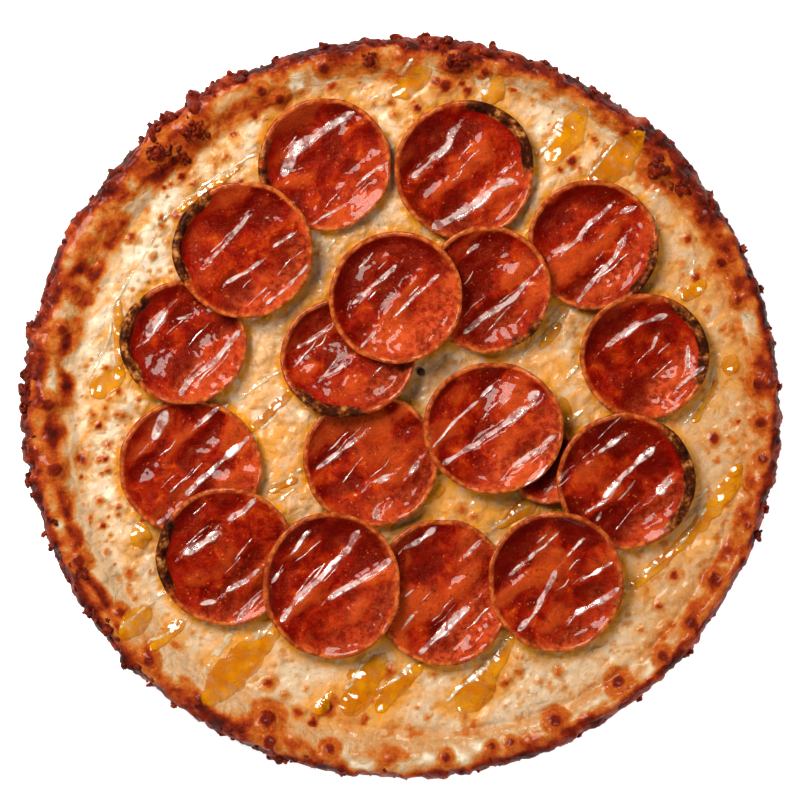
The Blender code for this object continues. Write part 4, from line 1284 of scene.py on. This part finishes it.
def peppercorn_material():
    s = Shader("peppercorn_skin", Coat_Weight=0.4, Coat_Roughness=0.2)
    s.set("Base Color", s.colours(s.noise(0.7 * MM, 3), (0.35, (28, 18, 12)), (0.7, (84, 56, 34))))
    s.set("Roughness", 0.5)
    s.bump(s.noise(0.5 * MM, 3), 0.2 * MM)
    return s.material


def floor_material():
    s = Shader("pale_floor")
    s.set("Base Color", s.mix(s.noise(40 * MM, 2), linear(253, 253, 253, 1), linear(251, 251, 251, 1)))
    s.set("Roughness", 0.8)
    s.set("Emission Color", (1, 1, 1, 1))
    s.set("Emission Strength", TABLE_LIGHT)
    return s.material


# The object, the stage and the camera.

def dress(obj, mat):
    obj.data.materials.clear()
    obj.data.materials.append(mat)
    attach(obj, "root")


def build_pizza():
    crust = build_crust()
    crust_tree = tree_of(crust)
    crags = build_crags(crust_tree)
    cheese = build_cheese(crust_tree)
    axis = map_axis()
    height_map = np.zeros((len(axis), len(axis)))
    add_to_map(height_map, cheese)
    pools, threads, streaks = draw_runs(POOLS, 11), draw_runs(THREADS, 12), draw_runs(STREAKS, 13)
    slices = []
    for number, row in enumerate(SLICES, start=1):
        piece = build_slice(number, row, height_map, streaks)
        add_to_map(height_map, piece)
        slices.append(piece)
    dress(crust, baked_material("baked_crust").material)
    dress(crags, crust.data.materials[0])
    dress(cheese, cheese_material())
    meat = pepperoni_material()
    for piece in slices:
        dress(piece, meat)
    base, top = tree_of(crust, cheese), tree_of(crust, cheese, *slices)
    pool = honey_material("golden_honey", (240, 156, 0), 0.62, 0.65)
    dress(build_runs("honey_pools", POOLS, pools, base, CHEESE_DROP), pool)
    # painted highlight: the thin runs' pale cream colour stands for the light they reflect
    thread_highlight = honey_material("thin_honey_highlight", (255, 232, 186), 0.52)
    dress(build_runs("honey_threads", THREADS, threads, base, CHEESE_DROP), thread_highlight)
    # painted highlight: the pale pink colour of the runs over the slices stands for the light they reflect
    glaze_highlight = honey_material("meat_glaze_highlight", (250, 212, 204), 0.6)
    dress(build_runs("honey_streaks", STREAKS, streaks, top), glaze_highlight)
    fine = fine_streaks()
    dress(build_runs("honey_fine_streaks", fine, draw_runs(fine, 16), top), glaze_highlight)
    dress(build_peppercorn(top), peppercorn_material())


def add_light(name, place, size, power, colour=(1, 1, 1), gloss=True):
    light = bpy.data.lights.new(name, "AREA")
    light.shape = "DISK"
    light.size = size
    light.energy = power
    light.color = colour
    obj = linked(name, light)
    obj.location = place
    obj.rotation_euler = (-Vector(place)).to_track_quat("-Z", "Y").to_euler()
    obj.visible_glossy = gloss


def studio_world():
    """A tent of light round the table, darker overhead."""
    world = bpy.data.worlds.new("studio")
    world.use_nodes = True
    nodes, links = world.node_tree.nodes, world.node_tree.links
    place, split = nodes.new("ShaderNodeTexCoord"), nodes.new("ShaderNodeSeparateXYZ")
    fade = nodes.new("ShaderNodeMapRange")
    fade.interpolation_type = "SMOOTHSTEP"
    for socket, value in (("From Min", 0.45), ("From Max", 0.9), ("To Min", TENT_LIGHT),
                          ("To Max", OVERHEAD_LIGHT)):
        fade.inputs[socket].default_value = value
    links.new(place.outputs["Generated"], split.inputs[0])
    links.new(split.outputs["Z"], fade.inputs["Value"])
    links.new(fade.outputs["Result"], nodes["Background"].inputs["Strength"])
    nodes["Background"].inputs["Color"].default_value = (1, 0.98, 0.95, 1)
    world.cycles_visibility.glossy = False
    return world


def build_stage():
    bm = bmesh.new()
    bmesh.ops.create_grid(bm, x_segments=2, y_segments=2, size=2.0)
    floor = finish_bmesh("floor", bm)
    floor.location.z = -0.2 * MM
    floor.data.materials.append(floor_material())
    add_light("key", (-0.54, 0.58, 0.95), 0.62, 22, (1.0, 0.97, 0.92))
    add_light("fill", (0.9, -0.75, 1.0), 1.2, 11, gloss=False)
    bpy.context.scene.world = studio_world()
    bpy.context.scene.view_settings.view_transform = "Standard"


def build_camera():
    """Straight above, far enough off that the rim isn't seen in perspective."""
    distance = 1.8
    camera = bpy.data.cameras.new("camera")
    camera.sensor_width = 36
    camera.lens = camera.sensor_width * distance / (PHOTO_SIZE * PIXEL)
    camera.clip_start, camera.clip_end = 0.01, 20
    obj = linked("camera", camera)
    x, y = from_photo(PHOTO_SIZE / 2, PHOTO_SIZE / 2)
    obj.location = (x, y, CHEESE_TOP + distance)
    bpy.context.scene.camera = obj


build_pizza()
build_stage()
build_camera()
